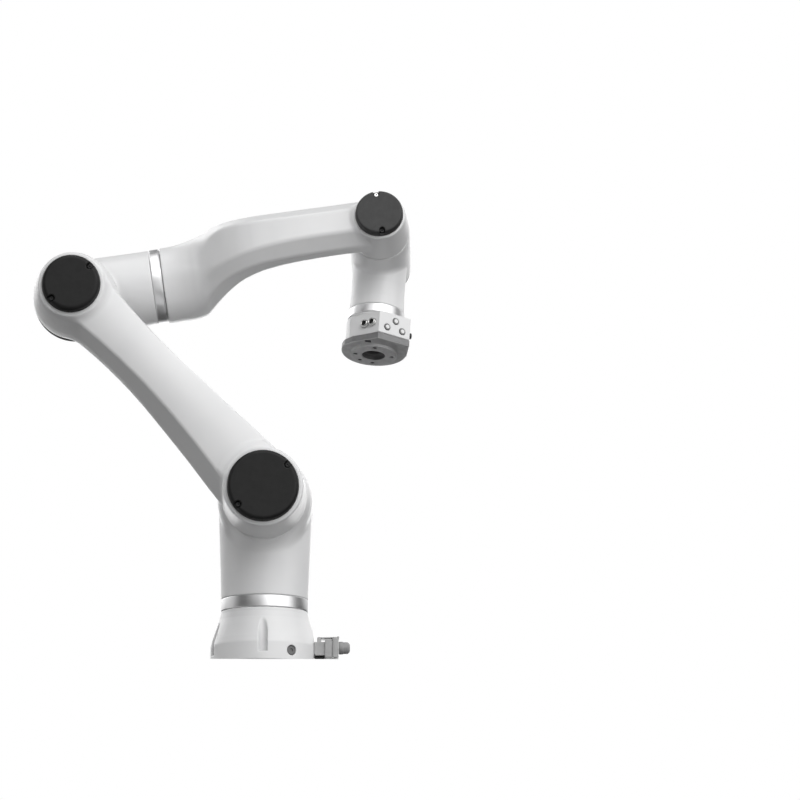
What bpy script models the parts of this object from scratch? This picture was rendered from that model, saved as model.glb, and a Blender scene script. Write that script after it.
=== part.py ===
"""Six-axis collaborative robot arm, as an assembly of separate pieces on real joints.

Lengths below are in millimetres and are turned into metres when a mesh is made.
+Z is up, +X points to the connector side of the base, -Y is the near side, where the
lower arm sits. The origin is the centre of the base's foot.

Each joint has an empty on its axis:
  axis_1 local Z up;  axis_2, axis_3 and axis_5 local Z towards the near side;
  axis_4 local X along the forearm;  axis_6 local Z out of the tool flange.
"""
import math

import bmesh
import bpy
from mathutils import Matrix, Vector

MM = 0.001
GAP = 0.3                     # clearance between pieces that touch

# ---- driving dimensions, mm and degrees -------------------------------------------------
SHOULDER_HEIGHT = 220.0       # joint 2 axis above the foot
LOWER_ARM_LENGTH = 375.0      # joint 2 to joint 3
LOWER_ARM_LEAN = 43.5         # from upright, at rest
FOREARM_RISE = 8.5            # forearm above horizontal, at rest
FOREARM_OFFSET = 19.0         # joint 4 axis above joint 3 axis
FOREARM_LENGTH = 422.0        # joint 3 to the wrist centre, along the forearm
FOREARM_ROLL = 11.0           # joint 4 at rest
WRIST_LEAN = 12.1             # tool axis from square to the forearm, at rest
FLANGE_REACH = 152.3          # wrist centre to the tool flange face

FLANGE_RADIUS = 72.5          # base flange
BASE_TOP = 72.6
CONNECTOR_FLAT = 67.0         # flat on the base that carries the connector
RING_1_TOP = 89.0
SEAM_2 = 67.0                 # lower arm's mating plane, from the centre plane
SEAM_RADIUS = 57.5
SEAM_4 = 119.0
SEAM_5 = 71.2
SEAM_6 = 103.0
RING_6_TOP = 90.0

LARGE = 28                    # steps round a large turned piece
MEDIUM = 18
SMALL = 12


# ---- building blocks --------------------------------------------------------------------
def clear_scene():
    """Remove every object that the scene starts with."""
    for item in list(bpy.data.objects):
        bpy.data.objects.remove(item, do_unlink=True)


def make_collection(name):
    """Return a new collection under the scene."""
    group = bpy.data.collections.new(name)
    bpy.context.scene.collection.children.link(group)
    return group


def make_material(name, colour, roughness, metallic=0.0):
    """Return a Principled BSDF material."""
    material = bpy.data.materials.new(name)
    material.use_nodes = True
    shader = material.node_tree.nodes["Principled BSDF"]
    shader.inputs["Base Color"].default_value = (*colour, 1.0)
    shader.inputs["Roughness"].default_value = roughness
    shader.inputs["Metallic"].default_value = metallic
    material.diffuse_color = (*colour, 1.0)
    return material


def local_matrix(offset, turns):
    """Matrix of an offset in mm followed by turns, each (axis letter, degrees)."""
    matrix = Matrix.Translation(Vector(offset) * MM)
    for letter, degrees in turns:
        matrix = matrix @ Matrix.Rotation(math.radians(degrees), 4, letter)
    return matrix


def axis_empty(name, parent=None, offset=(0, 0, 0), turns=()):
    """Add an empty that carries a frame of the arm."""
    empty = bpy.data.objects.new(name, None)
    empty.empty_display_size = 0.05
    parts.objects.link(empty)
    empty.parent = parent
    empty.matrix_basis = local_matrix(offset, turns)
    return empty


def add_object(name, mesh, parent, offset, turns):
    """Link a mesh as an object in its parent's frame."""
    item = bpy.data.objects.new(name, mesh)
    parts.objects.link(item)
    item.parent = parent
    item.matrix_basis = local_matrix(offset, turns)
    return item


def set_surface(item, name):
    """Give the object its own copy of a finish."""
    material = finishes[name].copy()
    material.name = item.name + "_finish"
    item.data.materials.clear()
    item.data.materials.append(material)
    return item


def as_cutter(item):
    """Move an object to the cutters' collection, out of the model."""
    parts.objects.unlink(item)
    cutters.objects.link(item)
    item.hide_render = True
    item.display_type = "WIRE"
    return item


def turned(name, profile, steps, parent=None, offset=(0, 0, 0), turns=(), ring=False):
    """Turn a profile of (radius, height) round local Z; the outer side runs downwards."""
    mesh = bpy.data.meshes.new(name)
    points = [(radius * MM, 0.0, height * MM) for radius, height in profile]
    edges = [(index, index + 1) for index in range(len(points) - 1)]
    if ring:
        edges.append((len(points) - 1, 0))
    mesh.from_pydata(points, edges, [])
    item = add_object(name, mesh, parent, offset, turns)
    screw = item.modifiers.new("Turn", "SCREW")
    screw.axis = "Z"
    screw.angle = math.tau
    screw.steps = steps
    screw.render_steps = steps
    screw.use_merge_vertices = True
    screw.merge_threshold = 0.00001
    screw.use_smooth_shade = True
    return item


def disc_profile(radius, top, bottom):
    """Profile of a plain solid cylinder."""
    return [(0, top), (radius, top), (radius, bottom), (0, bottom)]


def bored_profile(radius, top, bottom, bore):
    """Profile of a plain ring; use it with ring=True."""
    return [(bore, top), (radius, top), (radius, bottom), (bore, bottom)]


def box(name, low, high, parent=None, offset=(0, 0, 0), turns=(), edge=0.0):
    """Box between two corners in mm, with an optional bevelled edge."""
    mesh = bpy.data.meshes.new(name)
    body = bmesh.new()
    bmesh.ops.create_cube(body, size=1.0)
    low = Vector(low) * MM
    high = Vector(high) * MM
    for vertex in body.verts:
        for axis in range(3):
            share = vertex.co[axis] + 0.5
            vertex.co[axis] = low[axis] + (high[axis] - low[axis]) * share
    body.to_mesh(mesh)
    body.free()
    item = add_object(name, mesh, parent, offset, turns)
    if edge:
        bevel = item.modifiers.new("Edges", "BEVEL")
        bevel.width = edge * MM
        bevel.segments = 2
        bevel.limit_method = "ANGLE"
    return item


def plate(name, outline, low, high, parent=None, offset=(0, 0, 0), turns=()):
    """Flat outline of (x, y) points, extruded from one height to another."""
    mesh = bpy.data.meshes.new(name)
    body = bmesh.new()
    corners = [body.verts.new((x * MM, y * MM, low * MM)) for x, y in outline]
    face = body.faces.new(corners)
    grown = bmesh.ops.extrude_face_region(body, geom=[face])
    raised = [item for item in grown["geom"] if isinstance(item, bmesh.types.BMVert)]
    bmesh.ops.translate(body, verts=raised, vec=(0, 0, (high - low) * MM))
    bmesh.ops.recalc_face_normals(body, faces=body.faces)
    body.to_mesh(mesh)
    body.free()
    return add_object(name, mesh, parent, offset, turns)


def loft(name, sections, parent=None, offset=(0, 0, 0), turns=()):
    """Closed body through sections, each a ring of as many points in mm."""
    mesh = bpy.data.meshes.new(name)
    body = bmesh.new()
    rings = [[body.verts.new(Vector(point) * MM) for point in section] for section in sections]
    count = len(rings[0])
    for lower, upper in zip(rings, rings[1:]):
        for index in range(count):
            after = (index + 1) % count
            body.faces.new((lower[index], lower[after], upper[after], upper[index]))
    body.faces.new(list(reversed(rings[0])))
    body.faces.new(rings[-1])
    bmesh.ops.recalc_face_normals(body, faces=body.faces)
    for face in body.faces:
        face.smooth = True
    body.to_mesh(mesh)
    body.free()
    return add_object(name, mesh, parent, offset, turns)


def combine(item, operation, *others):
    """Union or cut an object with others, which leave the model."""
    for other in others:
        modifier = item.modifiers.new(other.name, "BOOLEAN")
        modifier.operation = operation
        modifier.solver = "EXACT"
        modifier.object = as_cutter(other)
        weld = item.modifiers.new("Weld", "WELD")
        weld.merge_threshold = 0.00002
    return item


def slot_outline(radius, reach, steps=8):
    """U-shaped outline: a half circle at the origin that opens towards +X."""
    points = [(reach, radius)]
    for step in range(steps + 1):
        angle = math.radians(90 + 180 * step / steps)
        points.append((radius * math.cos(angle), radius * math.sin(angle)))
    points.append((reach, -radius))
    return points


def cover_cap(name, rim, face, height, parent, offset=(0, 0, 0), turns=(), slots=()):
    """Round push-on cover with a rounded rim, and slots there for the fixing screws."""
    floor = height - 6.5
    profile = [(0, height), (face, height), (face + 0.6 * (rim - face), height - 1.6), (rim, 2.0),
               (rim - 0.7, 0), (0, 0)]
    cap = turned(name, profile, LARGE, parent, offset, turns)
    for number, angle in enumerate(slots, 1):
        base = [*turns, ("Z", angle)]
        seat = plate(f"{name}_slot_{number}", slot_outline(4.4, 12), floor, height + 2,
                     parent, offset, base)
        shift = local_matrix((rim - 6.2, 0, 0), ())
        seat.matrix_basis = seat.matrix_basis @ shift
        combine(cap, "DIFFERENCE", seat)
    return set_surface(cap, "black_plastic")


def cover_screw(name, distance, height, angle, parent, offset, finish):
    """Small socket-head screw that sits in a cover's slot."""
    profile = [(0, height + 2.8), (2.5, height + 2.8), (2.9, height + 2.3), (2.9, height), (0, height)]
    screw = turned(name, profile, SMALL, parent, offset, (("Z", angle),))
    screw.matrix_basis = screw.matrix_basis @ local_matrix((distance, 0, 0), ())
    recess = turned(name + "_socket", disc_profile(1.4, height + 4, height + 1.2), 6, parent,
                    offset, (("Z", angle),))
    recess.matrix_basis = screw.matrix_basis.copy()
    combine(screw, "DIFFERENCE", recess)
    return set_surface(screw, finish)


def drive_piece(name, profile, parent, offset=(0, 0, 0), turns=(), finish="cast_steel"):
    """Turned piece of a joint's drive, hollow for the cable passage."""
    return set_surface(turned(name, profile, MEDIUM, parent, offset, turns, ring=True), finish)


def gear_profile(radius, top, bottom, hub, hub_top, bore):
    """Strain-wave gear unit: a wide body and an output hub that reaches the next link."""
    return [(bore, hub_top), (hub, hub_top), (hub, top), (radius - 0.8, top), (radius, top - 0.8),
            (radius, bottom), (bore, bottom)]


# ---- base -------------------------------------------------------------------------------
BOLT_ANGLES = (-162, -90, 126, 54)     # five places on the foot, less the connector's


def base_casting():
    """Flanged foot that narrows to the first joint, hollow for the drive."""
    profile = [(58.8, BASE_TOP), (59.4, 68), (61.4, 60), (64.5, 51), (69.8, 34.5),
               (FLANGE_RADIUS, 24.4), (FLANGE_RADIUS, 0.8), (FLANGE_RADIUS - 0.8, 0),
               (57.3, 0), (57.3, 3.3), (52, 3.3), (52, 64), (40.5, 66), (40.5, BASE_TOP)]
    casting = turned("base_casting", profile, 36, ring=True)
    flat = box("connector_flat_cut", (CONNECTOR_FLAT, -45, -2), (90, 45, 60))
    passage = turned("connector_passage", disc_profile(9, 72, 44), SMALL, None, (0, 0, 25), (("Y", 90),))
    port = turned("port_bore", disc_profile(7.0, 80, 63.5), SMALL, None, (0, 0, 13.5),
                  (("Z", -58), ("Y", 90)))
    combine(casting, "DIFFERENCE", flat, passage, port)
    for number, angle in enumerate(BOLT_ANGLES, 1):
        pocket = plate(f"bolt_pocket_{number}", slot_outline(5.8, 15), 11, 66, None, (0, 0, 0),
                       (("Z", angle),))
        pocket.matrix_basis = pocket.matrix_basis @ local_matrix((68.3, 0, 0), ())
        hole = turned(f"bolt_hole_{number}", disc_profile(3.3, 13, -2), 16, None, (0, 0, 0),
                      (("Z", angle),))
        hole.matrix_basis = hole.matrix_basis @ local_matrix((67.0, 0, 0), ())
        combine(casting, "DIFFERENCE", pocket, hole)
    return set_surface(casting, "white_paint")


def base_fittings():
    """Foot cover, side port plug, first joint's ring and the drive in the base."""
    cover = turned("base_bottom_cover", [(0, 3.0), (56.4, 3.0), (57.0, 2.4), (57.0, 0), (0, 0)], LARGE)
    set_surface(cover, "dark_metal")
    profile = [(0, 71.4), (3.2, 71.4), (3.2, 70.2), (5.6, 70.2), (6.1, 71.2), (6.7, 70.7), (6.7, 64.0),
               (0, 64.0)]
    plug = turned("side_port_plug", profile, MEDIUM, None, (0, 0, 13.5), (("Z", -58), ("Y", 90)))
    set_surface(plug, "black_plastic")
    ring = turned("j1_seal_ring", [(41, RING_1_TOP), (58.6, RING_1_TOP), (59.4, RING_1_TOP - 0.8),
                                   (59.4, BASE_TOP + GAP + 0.8), (58.6, BASE_TOP + GAP),
                                   (41, BASE_TOP + GAP)], LARGE, ring=True)
    set_surface(ring, "satin_metal")
    drive_piece("j1_brake", bored_profile(44, 16, 6, 12), None, finish="dark_metal")
    drive_piece("j1_motor", bored_profile(47, 37, 17, 12), None)
    drive_piece("j1_gear_unit", gear_profile(47, 63, 38, 38, RING_1_TOP - 0.1, 12), None)


def connector():
    """Rectangular heavy-duty connector: socket, gasket, hood, gland and locking latch."""
    socket = box("connector_socket", (CONNECTOR_FLAT + GAP, -17, 12.6), (84, 17, 31), edge=1.2)
    collar = box("connector_socket_collar", (82, -20, 9.8), (91, 20, 34.8), edge=1.2)
    near_ear = box("latch_ear_near", (71.5, -15.6, 29), (76.5, -13.4, 37.6), edge=0.3)
    far_ear = box("latch_ear_far", (71.5, 13.4, 29), (76.5, 15.6, 37.6), edge=0.3)
    set_surface(combine(socket, "UNION", collar, near_ear, far_ear), "grey_plastic")
    hood = box("connector_hood", (92.4, -20.5, 9.5), (100.2, 20.5, 36.2), edge=1.5)
    set_surface(hood, "grey_plastic")
    seal = box("connector_gasket", (91.0 + GAP, -19, 10.8), (92.4 - GAP, 19, 33.6), edge=0.3)
    set_surface(seal, "rubber")
    rail = box("connector_lower_rail", (68, -14, 8.4), (81.5, 14, 12.3), edge=0.8)
    set_surface(rail, "black_plastic")
    profile = [(0, 115.5), (3.5, 115.5), (4.2, 114.0), (6.6, 114.0), (7.9, 112.5), (7.9, 106.5), (8.6, 106.0),
               (8.6, 101.2), (8.0, 100.5), (0, 100.5)]
    gland = turned("cable_gland", profile, MEDIUM, None, (0, 0, 25), (("Y", 90),))
    set_surface(gland, "black_plastic")


def connector_latch():
    """Latch hinged at the back of the socket; its lip hooks over the hood."""
    hinge = axis_empty("latch_hinge", None, (74, 0, 36.2))
    latch = box("connector_lever", (-2.0, -12, -0.9), (27.0, 12, 0.9), hinge, edge=0.4)
    lip = box("connector_lever_lip", (24.5, -12, -0.5), (27.0, 12, 3.2), hinge, edge=0.4)
    barrel = turned("connector_lever_barrel", disc_profile(1.6, 13, -13), SMALL, hinge, (0, 0, 0),
                    (("X", 90),))
    combine(latch, "UNION", lip, barrel)
    latch.matrix_basis = local_matrix((0, 0, 0.9), (("Y", -1.5),))
    lip.matrix_basis = latch.matrix_basis.copy()
    return set_surface(latch, "dark_metal")


# ---- shoulder ---------------------------------------------------------------------------
def shoulder(axis_1, barrel_frame):
    """Upright tube that turns on the base and carries the second joint's barrel."""
    profile = [(0, 222), (63.0, 222), (63.0, 200), (60.8, 145), (59.2, 98), (58.7, RING_1_TOP + GAP),
               (0, RING_1_TOP + GAP)]
    tube = turned("shoulder_housing", profile, LARGE, axis_1)
    profile = [(0, SEAM_2 - GAP), (57.0, SEAM_2 - GAP), (58.8, 63), (61.5, 54), (63.6, 40), (64, 22), (64, -40),
               (63, -56), (61.2, -61.5), (58.5, -63), (0, -63)]
    barrel = turned("shoulder_barrel", profile, LARGE, barrel_frame)
    tube_hollow = turned("shoulder_tube_hollow", disc_profile(52, 214, 97), MEDIUM, axis_1)
    floor_bore = turned("shoulder_floor_bore", disc_profile(13, 99, 86), SMALL, axis_1)
    barrel_hollow = turned("shoulder_barrel_hollow", [(0, 68), (47.5, 68), (47.5, 60), (53, 57), (53, -54),
                                                      (41, -57), (41, -65), (0, -65)], MEDIUM, barrel_frame)
    combine(tube, "UNION", barrel)
    combine(tube, "DIFFERENCE", tube_hollow, floor_bore, barrel_hollow)
    set_surface(tube, "white_paint")
    cover_cap("shoulder_back_cover", 47.7, 43.7, 12, barrel_frame, (0, 0, -63 - GAP), (("X", 180),))
    drive_piece("j2_gear_unit", gear_profile(46.5, 59, 38, 44, SEAM_2 - 0.5, 12), barrel_frame)
    drive_piece("j2_motor", bored_profile(44, 37, 4, 12), barrel_frame)
    drive_piece("j2_brake", bored_profile(40, 3, -16, 12), barrel_frame, finish="dark_metal")


# ---- lower arm --------------------------------------------------------------------------
def lower_arm_outline(inset, height, rise):
    """Waisted outline round both ends of the lower arm, at one depth."""
    steps = 8
    start, finish, pinch = 54.0, 44.5, 12.5
    side = []
    for step in range(steps + 1):
        share = step / steps
        width = start + (finish - start) * share - pinch * math.sin(math.pi * share) ** 1.3
        drift = 3.0 * math.sin(math.pi * share)
        side.append((width, LOWER_ARM_LENGTH * share, drift))
    points = [(width - inset + drift, along) for width, along, drift in side]
    for step in range(1, 8):
        angle = math.radians(180 * step / 8)
        points.append(((finish - inset) * math.cos(angle), LOWER_ARM_LENGTH + (finish - inset) * math.sin(angle)))
    points += [(-width + inset + drift, along) for width, along, drift in reversed(side)]
    for step in range(1, 8):
        angle = math.radians(180 + 180 * step / 8)
        points.append(((start - inset) * math.cos(angle), (start - inset) * math.sin(angle)))
    return [(x, y, height + rise * y / LOWER_ARM_LENGTH) for x, y in points]


def lower_arm(axis_2):
    """Beam between the second and third joints, with a boss and a cover at each end."""
    length = LOWER_ARM_LENGTH
    levels = [(3.0, 71, 0), (0.0, 74, 0), (0.0, 102, 2), (7.0, 120, 4), (15.5, 134, 6), (19.5, 136.5, 6)]
    shell = loft("lower_arm_shell", [lower_arm_outline(*level) for level in levels], axis_2)
    near_boss = turned("lower_arm_boss_2", [(0, 139), (52.0, 139), (52.9, 138), (53.8, 118), (56.2, 85), (57.5, 74),
                                            (57.2, SEAM_2 + GAP), (0, SEAM_2 + GAP)], LARGE, axis_2)
    far_boss = turned("lower_arm_boss_3", [(0, 146), (43.4, 146), (44.4, 145), (47.6, 134), (52, 112), (56.4, 85),
                                           (57.5, 75), (57.2, SEAM_2 + GAP), (0, SEAM_2 + GAP)],
                      LARGE, axis_2, (0, length, 0))
    hollow_2 = turned("lower_arm_hollow_2", disc_profile(42, 141, 77), MEDIUM, axis_2)
    hollow_3 = turned("lower_arm_hollow_3", disc_profile(34, 148, 77), MEDIUM, axis_2, (0, length, 0))
    bore_2 = turned("lower_arm_bore_2", disc_profile(12, 80, 60), SMALL, axis_2)
    bore_3 = turned("lower_arm_bore_3", disc_profile(10, 80, 60), SMALL, axis_2, (0, length, 0))
    channel = box("lower_arm_channel", (-18, 15, 84), (24, length - 15, 118), axis_2)
    combine(shell, "UNION", near_boss, far_boss)
    combine(shell, "DIFFERENCE", hollow_2, hollow_3, bore_2, bore_3, channel)
    set_surface(shell, "white_paint")
    cover_cap("j2_cover", 47.7, 43.7, 14, axis_2, (0, 0, 139 + GAP), (), (-4, 176))
    cover_cap("j3_cover", 39.2, 34.6, 13, axis_2, (0, length, 146 + GAP), (), (-2, 178))
    for number, angle in enumerate((-4, 176), 1):
        cover_screw(f"j2_cover_screw_{number}", 41.5, 7.5 + GAP, angle, axis_2, (0, 0, 139 + GAP), "dark_metal")
    for number, angle in enumerate((-2, 178), 1):
        cover_screw(f"j3_cover_screw_{number}", 33.0, 6.5 + GAP, angle, axis_2, (0, length, 146 + GAP), "dark_metal")


# ---- elbow ------------------------------------------------------------------------------
def elbow(axis_3, tube_frame):
    """Third joint's barrel, drawn into the tube of the fourth joint."""
    radius = 50.9
    barrel = turned("elbow_housing", [(0, 57.2), (52.4, 57.2), (53.0, 55), (51, 38), (46, 18), (40, -6), (33, -28),
                                      (0, -28)], LARGE, axis_3)
    profile = [(0, SEAM_4 - 14.3), (50.2, SEAM_4 - 14.3), (radius, SEAM_4 - 15.0), (radius, 8)]
    for step in range(7):
        angle = math.radians(90 * step / 6)
        profile.append((radius * math.cos(angle), -radius * math.sin(angle)))
    profile[-1] = (0, -radius)
    tube = turned("elbow_tube", profile, LARGE, tube_frame)
    back = turned("elbow_back_boss", [(0, -20), (36, -20), (36, -50.5), (35, -51.6), (0, -51.6)], LARGE, axis_3,
                  (0, FOREARM_OFFSET, 0))
    barrel_hollow = turned("elbow_barrel_hollow", [(0, 58), (46, 58), (46, 31), (36.5, 29), (36.5, -14), (0, -14)],
                           MEDIUM, axis_3)
    tube_hollow = turned("elbow_tube_hollow", disc_profile(45.5, 110, 40), MEDIUM, tube_frame)
    back_hollow = turned("elbow_back_hollow", disc_profile(28, -8, -54), MEDIUM, axis_3, (0, FOREARM_OFFSET, 0))
    combine(barrel, "UNION", tube, back)
    combine(barrel, "DIFFERENCE", barrel_hollow, tube_hollow, back_hollow)
    set_surface(barrel, "white_paint")
    seal = turned("j3_seal_ring", [(47, SEAM_2 - 0.1), (56.6, SEAM_2 - 0.1), (57.2, SEAM_2 - 0.7), (57.2, 58.2),
                                   (56.5, 57.5), (47, 57.5)], LARGE, axis_3, ring=True)
    set_surface(seal, "rubber")
    cover_cap("elbow_back_cover", 34.5, 31.5, 9, axis_3, (0, FOREARM_OFFSET, -51.6 - GAP), (("X", 180),))
    ring = turned("j4_seal_ring", [(42, SEAM_4 - GAP), (50.4, SEAM_4 - GAP), (51.6, SEAM_4 - 1.6),
                                   (51.6, SEAM_4 - 13.2), (50.8, SEAM_4 - 14.0), (42, SEAM_4 - 14.0)],
                  LARGE, tube_frame, ring=True)
    set_surface(ring, "satin_metal")
    drive_piece("j3_gear_unit", gear_profile(44.5, 56, 32, 43, SEAM_2 - 0.4, 10), axis_3)
    drive_piece("j3_motor", bored_profile(35, 28, -7, 10), axis_3)
    drive_piece("j4_motor", bored_profile(43, 73, 46.5, 9), tube_frame)
    drive_piece("j4_gear_unit", gear_profile(44, 101, 75, 39, SEAM_4 - 0.4, 9), tube_frame)


# ---- forearm ----------------------------------------------------------------------------
def forearm_section(along, centre, half_height, half_depth, power):
    """Rounded section square to the forearm axis; power 2 is an ellipse."""
    points = []
    count = 20
    for step in range(count):
        angle = math.tau * step / count
        cosine, sine = math.cos(angle), math.sin(angle)
        y = half_height * math.copysign(abs(cosine) ** (2 / power), cosine)
        z = half_depth * math.copysign(abs(sine) ** (2 / power), sine)
        points.append((along, y, centre + z))
    return points


def forearm(axis_4):
    """Swan-necked casting from the fourth joint's collar to the fifth joint's boss."""
    stations = [(SEAM_4 + 0.5, 0, 52.2, 52.2, 2.0), (SEAM_4 + 2.0, 0, 53.0, 53.0, 2.0), (160, 1, 53.0, 53.0, 2.0),
                (175, 10, 53.0, 56.0, 2.1), (185, 30, 50.0, 50.0, 2.2), (195, 46, 48.0, 43.0, 2.3),
                (207, 60, 45.5, 37.0, 2.4), (222, 72, 42.5, 32.0, 2.6), (240, 82, 39.5, 28.5, 2.8),
                (265, 91, 36.5, 26.0, 3.0), (300, 97, 34.5, 25.0, 3.0), (345, 99, 33.5, 25.0, 3.0),
                (385, 99, 33.5, 25.0, 3.0), (422, 99, 33.0, 25.0, 3.0)]
    shell = loft("forearm_shell", [forearm_section(*station) for station in stations], axis_4)
    boss = turned("forearm_boss", [(0, 124.6), (34.0, 124.6), (35.0, 123.6), (36.4, 114), (38.8, 96), (40.4, 80),
                                   (40.6, 74), (40.2, SEAM_5 + GAP), (0, SEAM_5 + GAP)], LARGE, axis_4,
                  (FOREARM_LENGTH, 0, 0))
    collar_hollow = turned("forearm_collar_hollow", disc_profile(43, 158, 127), MEDIUM, axis_4, (0, 0, 0),
                           (("Y", 90),))
    collar_bore = turned("forearm_collar_bore", disc_profile(12, 130, 110), SMALL, axis_4, (0, 0, 0), (("Y", 90),))
    boss_hollow = turned("forearm_boss_hollow", disc_profile(27, 126, 80), MEDIUM, axis_4, (FOREARM_LENGTH, 0, 0))
    boss_bore = turned("forearm_boss_bore", disc_profile(8, 84, 66), SMALL, axis_4, (FOREARM_LENGTH, 0, 0))
    route = [(140, 4, 14), (170, 14, 14), (190, 34, 15), (212, 60, 15), (240, 80, 13), (280, 93, 12), (410, 99, 12)]
    channel = loft("forearm_channel", [forearm_section(along, centre, 11, depth, 2.0)
                                       for along, centre, depth in route], axis_4)
    combine(shell, "UNION", boss)
    combine(shell, "DIFFERENCE", collar_hollow, collar_bore, boss_hollow, boss_bore, channel)
    set_surface(shell, "white_paint")
    place = (FOREARM_LENGTH, 0, 124.6 + GAP)
    cover_cap("j5_cover", 32.4, 30.2, 11, axis_4, place, (), (90, 270))
    for number, angle in enumerate((90, 270), 1):
        cover_screw(f"j5_cover_screw_{number}", 26.2, 4.5 + GAP, angle, axis_4, place, "satin_metal")
    drive_piece("j5_motor", bored_profile(25, 118, 83, 7), axis_4, (FOREARM_LENGTH, 0, 0))


# ---- wrist ------------------------------------------------------------------------------
def wrist(axis_5, axis_6):
    """Barrel of the fifth joint with the tube that carries the tool joint."""
    profile = [(0, SEAM_5 - GAP), (39.6, SEAM_5 - GAP), (40.5, 67), (41.2, 52), (41.2, -36), (40.9, -39), (0, -39)]
    barrel = turned("wrist_housing", profile, LARGE, axis_5)
    tube = turned("wrist_tube", [(0, RING_6_TOP - GAP), (37.6, RING_6_TOP - GAP), (38.0, 88.8), (37.2, 76), (36.6, 55),
                                 (37.2, 30), (38.2, 0), (0, 0)], LARGE, axis_6)
    barrel_hollow = turned("wrist_barrel_hollow", [(0, 72), (34, 72), (34, -32), (29, -33), (29, -41), (0, -41)],
                           MEDIUM, axis_5)
    tube_hollow = turned("wrist_tube_hollow", disc_profile(31.5, 91, 10), MEDIUM, axis_6)
    combine(barrel, "UNION", tube)
    combine(barrel, "DIFFERENCE", barrel_hollow, tube_hollow)
    set_surface(barrel, "white_paint")
    cover_cap("wrist_back_cover", 40.6, 38.0, 8, axis_5, (0, 0, -39 - GAP), (("X", 180),))
    ring = turned("j6_seal_ring", [(29, SEAM_6 - GAP), (38.0, SEAM_6 - GAP), (38.9, SEAM_6 - 1.2),
                                   (38.9, RING_6_TOP + 0.8), (38.2, RING_6_TOP), (29, RING_6_TOP)], LARGE,
                  axis_6, ring=True)
    set_surface(ring, "satin_metal")
    drive_piece("j5_gear_unit", gear_profile(33, 64, 40, 31, SEAM_5 - 0.4, 7), axis_5)
    drive_piece("j6_motor", bored_profile(30.5, 62, 42, 7), axis_6)
    drive_piece("j6_gear_unit", gear_profile(30.5, 88, 63, 28, SEAM_6 - 0.4, 7), axis_6)


# ---- tool head --------------------------------------------------------------------------
CORNER = (6.8, 50.0)          # near corner of the tool head's block, square to the tool axis
RIGHT_CORNER = (48.4, 26.0)
BUTTON_FACE_TURN = -30.0
SOCKET_FACE_TURN = 34.8
SIDE_FACE_TURN = -96.5


def arc(radius, start, end, steps):
    """Points on a circle round the origin."""
    angles = [math.radians(start + (end - start) * step / steps) for step in range(steps + 1)]
    return [(radius * math.cos(angle), radius * math.sin(angle)) for angle in angles]


def face_place(face_turn, corner, along, height):
    """Offset and turns of a point on one of the block's upright faces, local Z outwards."""
    angle = math.radians(face_turn)
    offset = (corner[0] + along * math.cos(angle), corner[1] + along * math.sin(angle), height)
    return offset, (("Z", face_turn), ("X", -90))


def tool_head(axis_6):
    """Tool head's housing, its flange plate and the parts on its faces."""
    body = turned("tool_head_body", [(0, 112), (39.6, 112), (39.2, 106), (38.8, 104), (38.0, SEAM_6), (0, SEAM_6)],
                  LARGE, axis_6)
    outline = [CORNER] + arc(39.3, 149, 332, 22) + [(44.5, -8), RIGHT_CORNER]
    block = plate("tool_head_block", outline, 106, 138, axis_6)
    hollow = turned("tool_head_hollow", disc_profile(29, 140, 109), MEDIUM, axis_6)
    bore = turned("tool_head_bore", disc_profile(8, 112, 100), SMALL, axis_6)
    combine(body, "UNION", block)
    combine(body, "DIFFERENCE", hollow, bore)
    for number, (along, height) in enumerate(BUTTONS, 1):
        offset, turns = face_place(BUTTON_FACE_TURN, CORNER, along, height)
        seat = turned(f"button_seat_{number}", disc_profile(4.7, 3, -6.5), SMALL, axis_6, offset, turns)
        combine(body, "DIFFERENCE", seat)
    for number, (along, height) in enumerate(SOCKETS, 1):
        offset, turns = face_place(SOCKET_FACE_TURN, CORNER, along, height)
        seat = turned(f"socket_seat_{number}", disc_profile(5.6, 3, -5), SMALL, axis_6, offset, turns)
        combine(body, "DIFFERENCE", seat)
    set_surface(body, "white_paint")


def tool_flange(axis_6):
    """Dark plate under the tool head, with the round tool interface."""
    outline = [(6.8, 50.6), (-30, 30.5)] + arc(44.6, 152, 344, 26) + [(44.9, -8), (48.9, 26.4)]
    plate_body = plate("tool_flange", outline, 138 + GAP, 148, axis_6)
    disc = turned("tool_flange_disc", [(0, FLANGE_REACH), (30.9, FLANGE_REACH), (31.5, FLANGE_REACH - 0.6),
                                       (31.5, 145), (0, 145)], LARGE, axis_6)
    recess = turned("tool_flange_recess", [(0, 160), (15.75, 160), (15.75, FLANGE_REACH - 6), (10, FLANGE_REACH - 6),
                                           (10, 136), (0, 136)], MEDIUM, axis_6)
    combine(plate_body, "UNION", disc)
    combine(plate_body, "DIFFERENCE", recess)
    for number in range(4):
        angle = 85 + 90 * number
        hole = turned(f"tool_hole_{number}", disc_profile(2.6, 160, FLANGE_REACH - 10), 12, axis_6, (0, 0, 0),
                      (("Z", angle),))
        hole.matrix_basis = hole.matrix_basis @ local_matrix((25, 0, 0), ())
        combine(plate_body, "DIFFERENCE", hole)
    dowel = turned("tool_dowel_hole", disc_profile(3.0, 160, FLANGE_REACH - 6), 12, axis_6, (0, 0, 0),
                   (("Z", 220),))
    dowel.matrix_basis = dowel.matrix_basis @ local_matrix((25, 0, 0), ())
    notch = box("tool_flange_notch", (-11, 32.2, 141), (-3, 40, 150), axis_6)
    combine(plate_body, "DIFFERENCE", dowel, notch)
    return set_surface(plate_body, "dark_metal")


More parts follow.
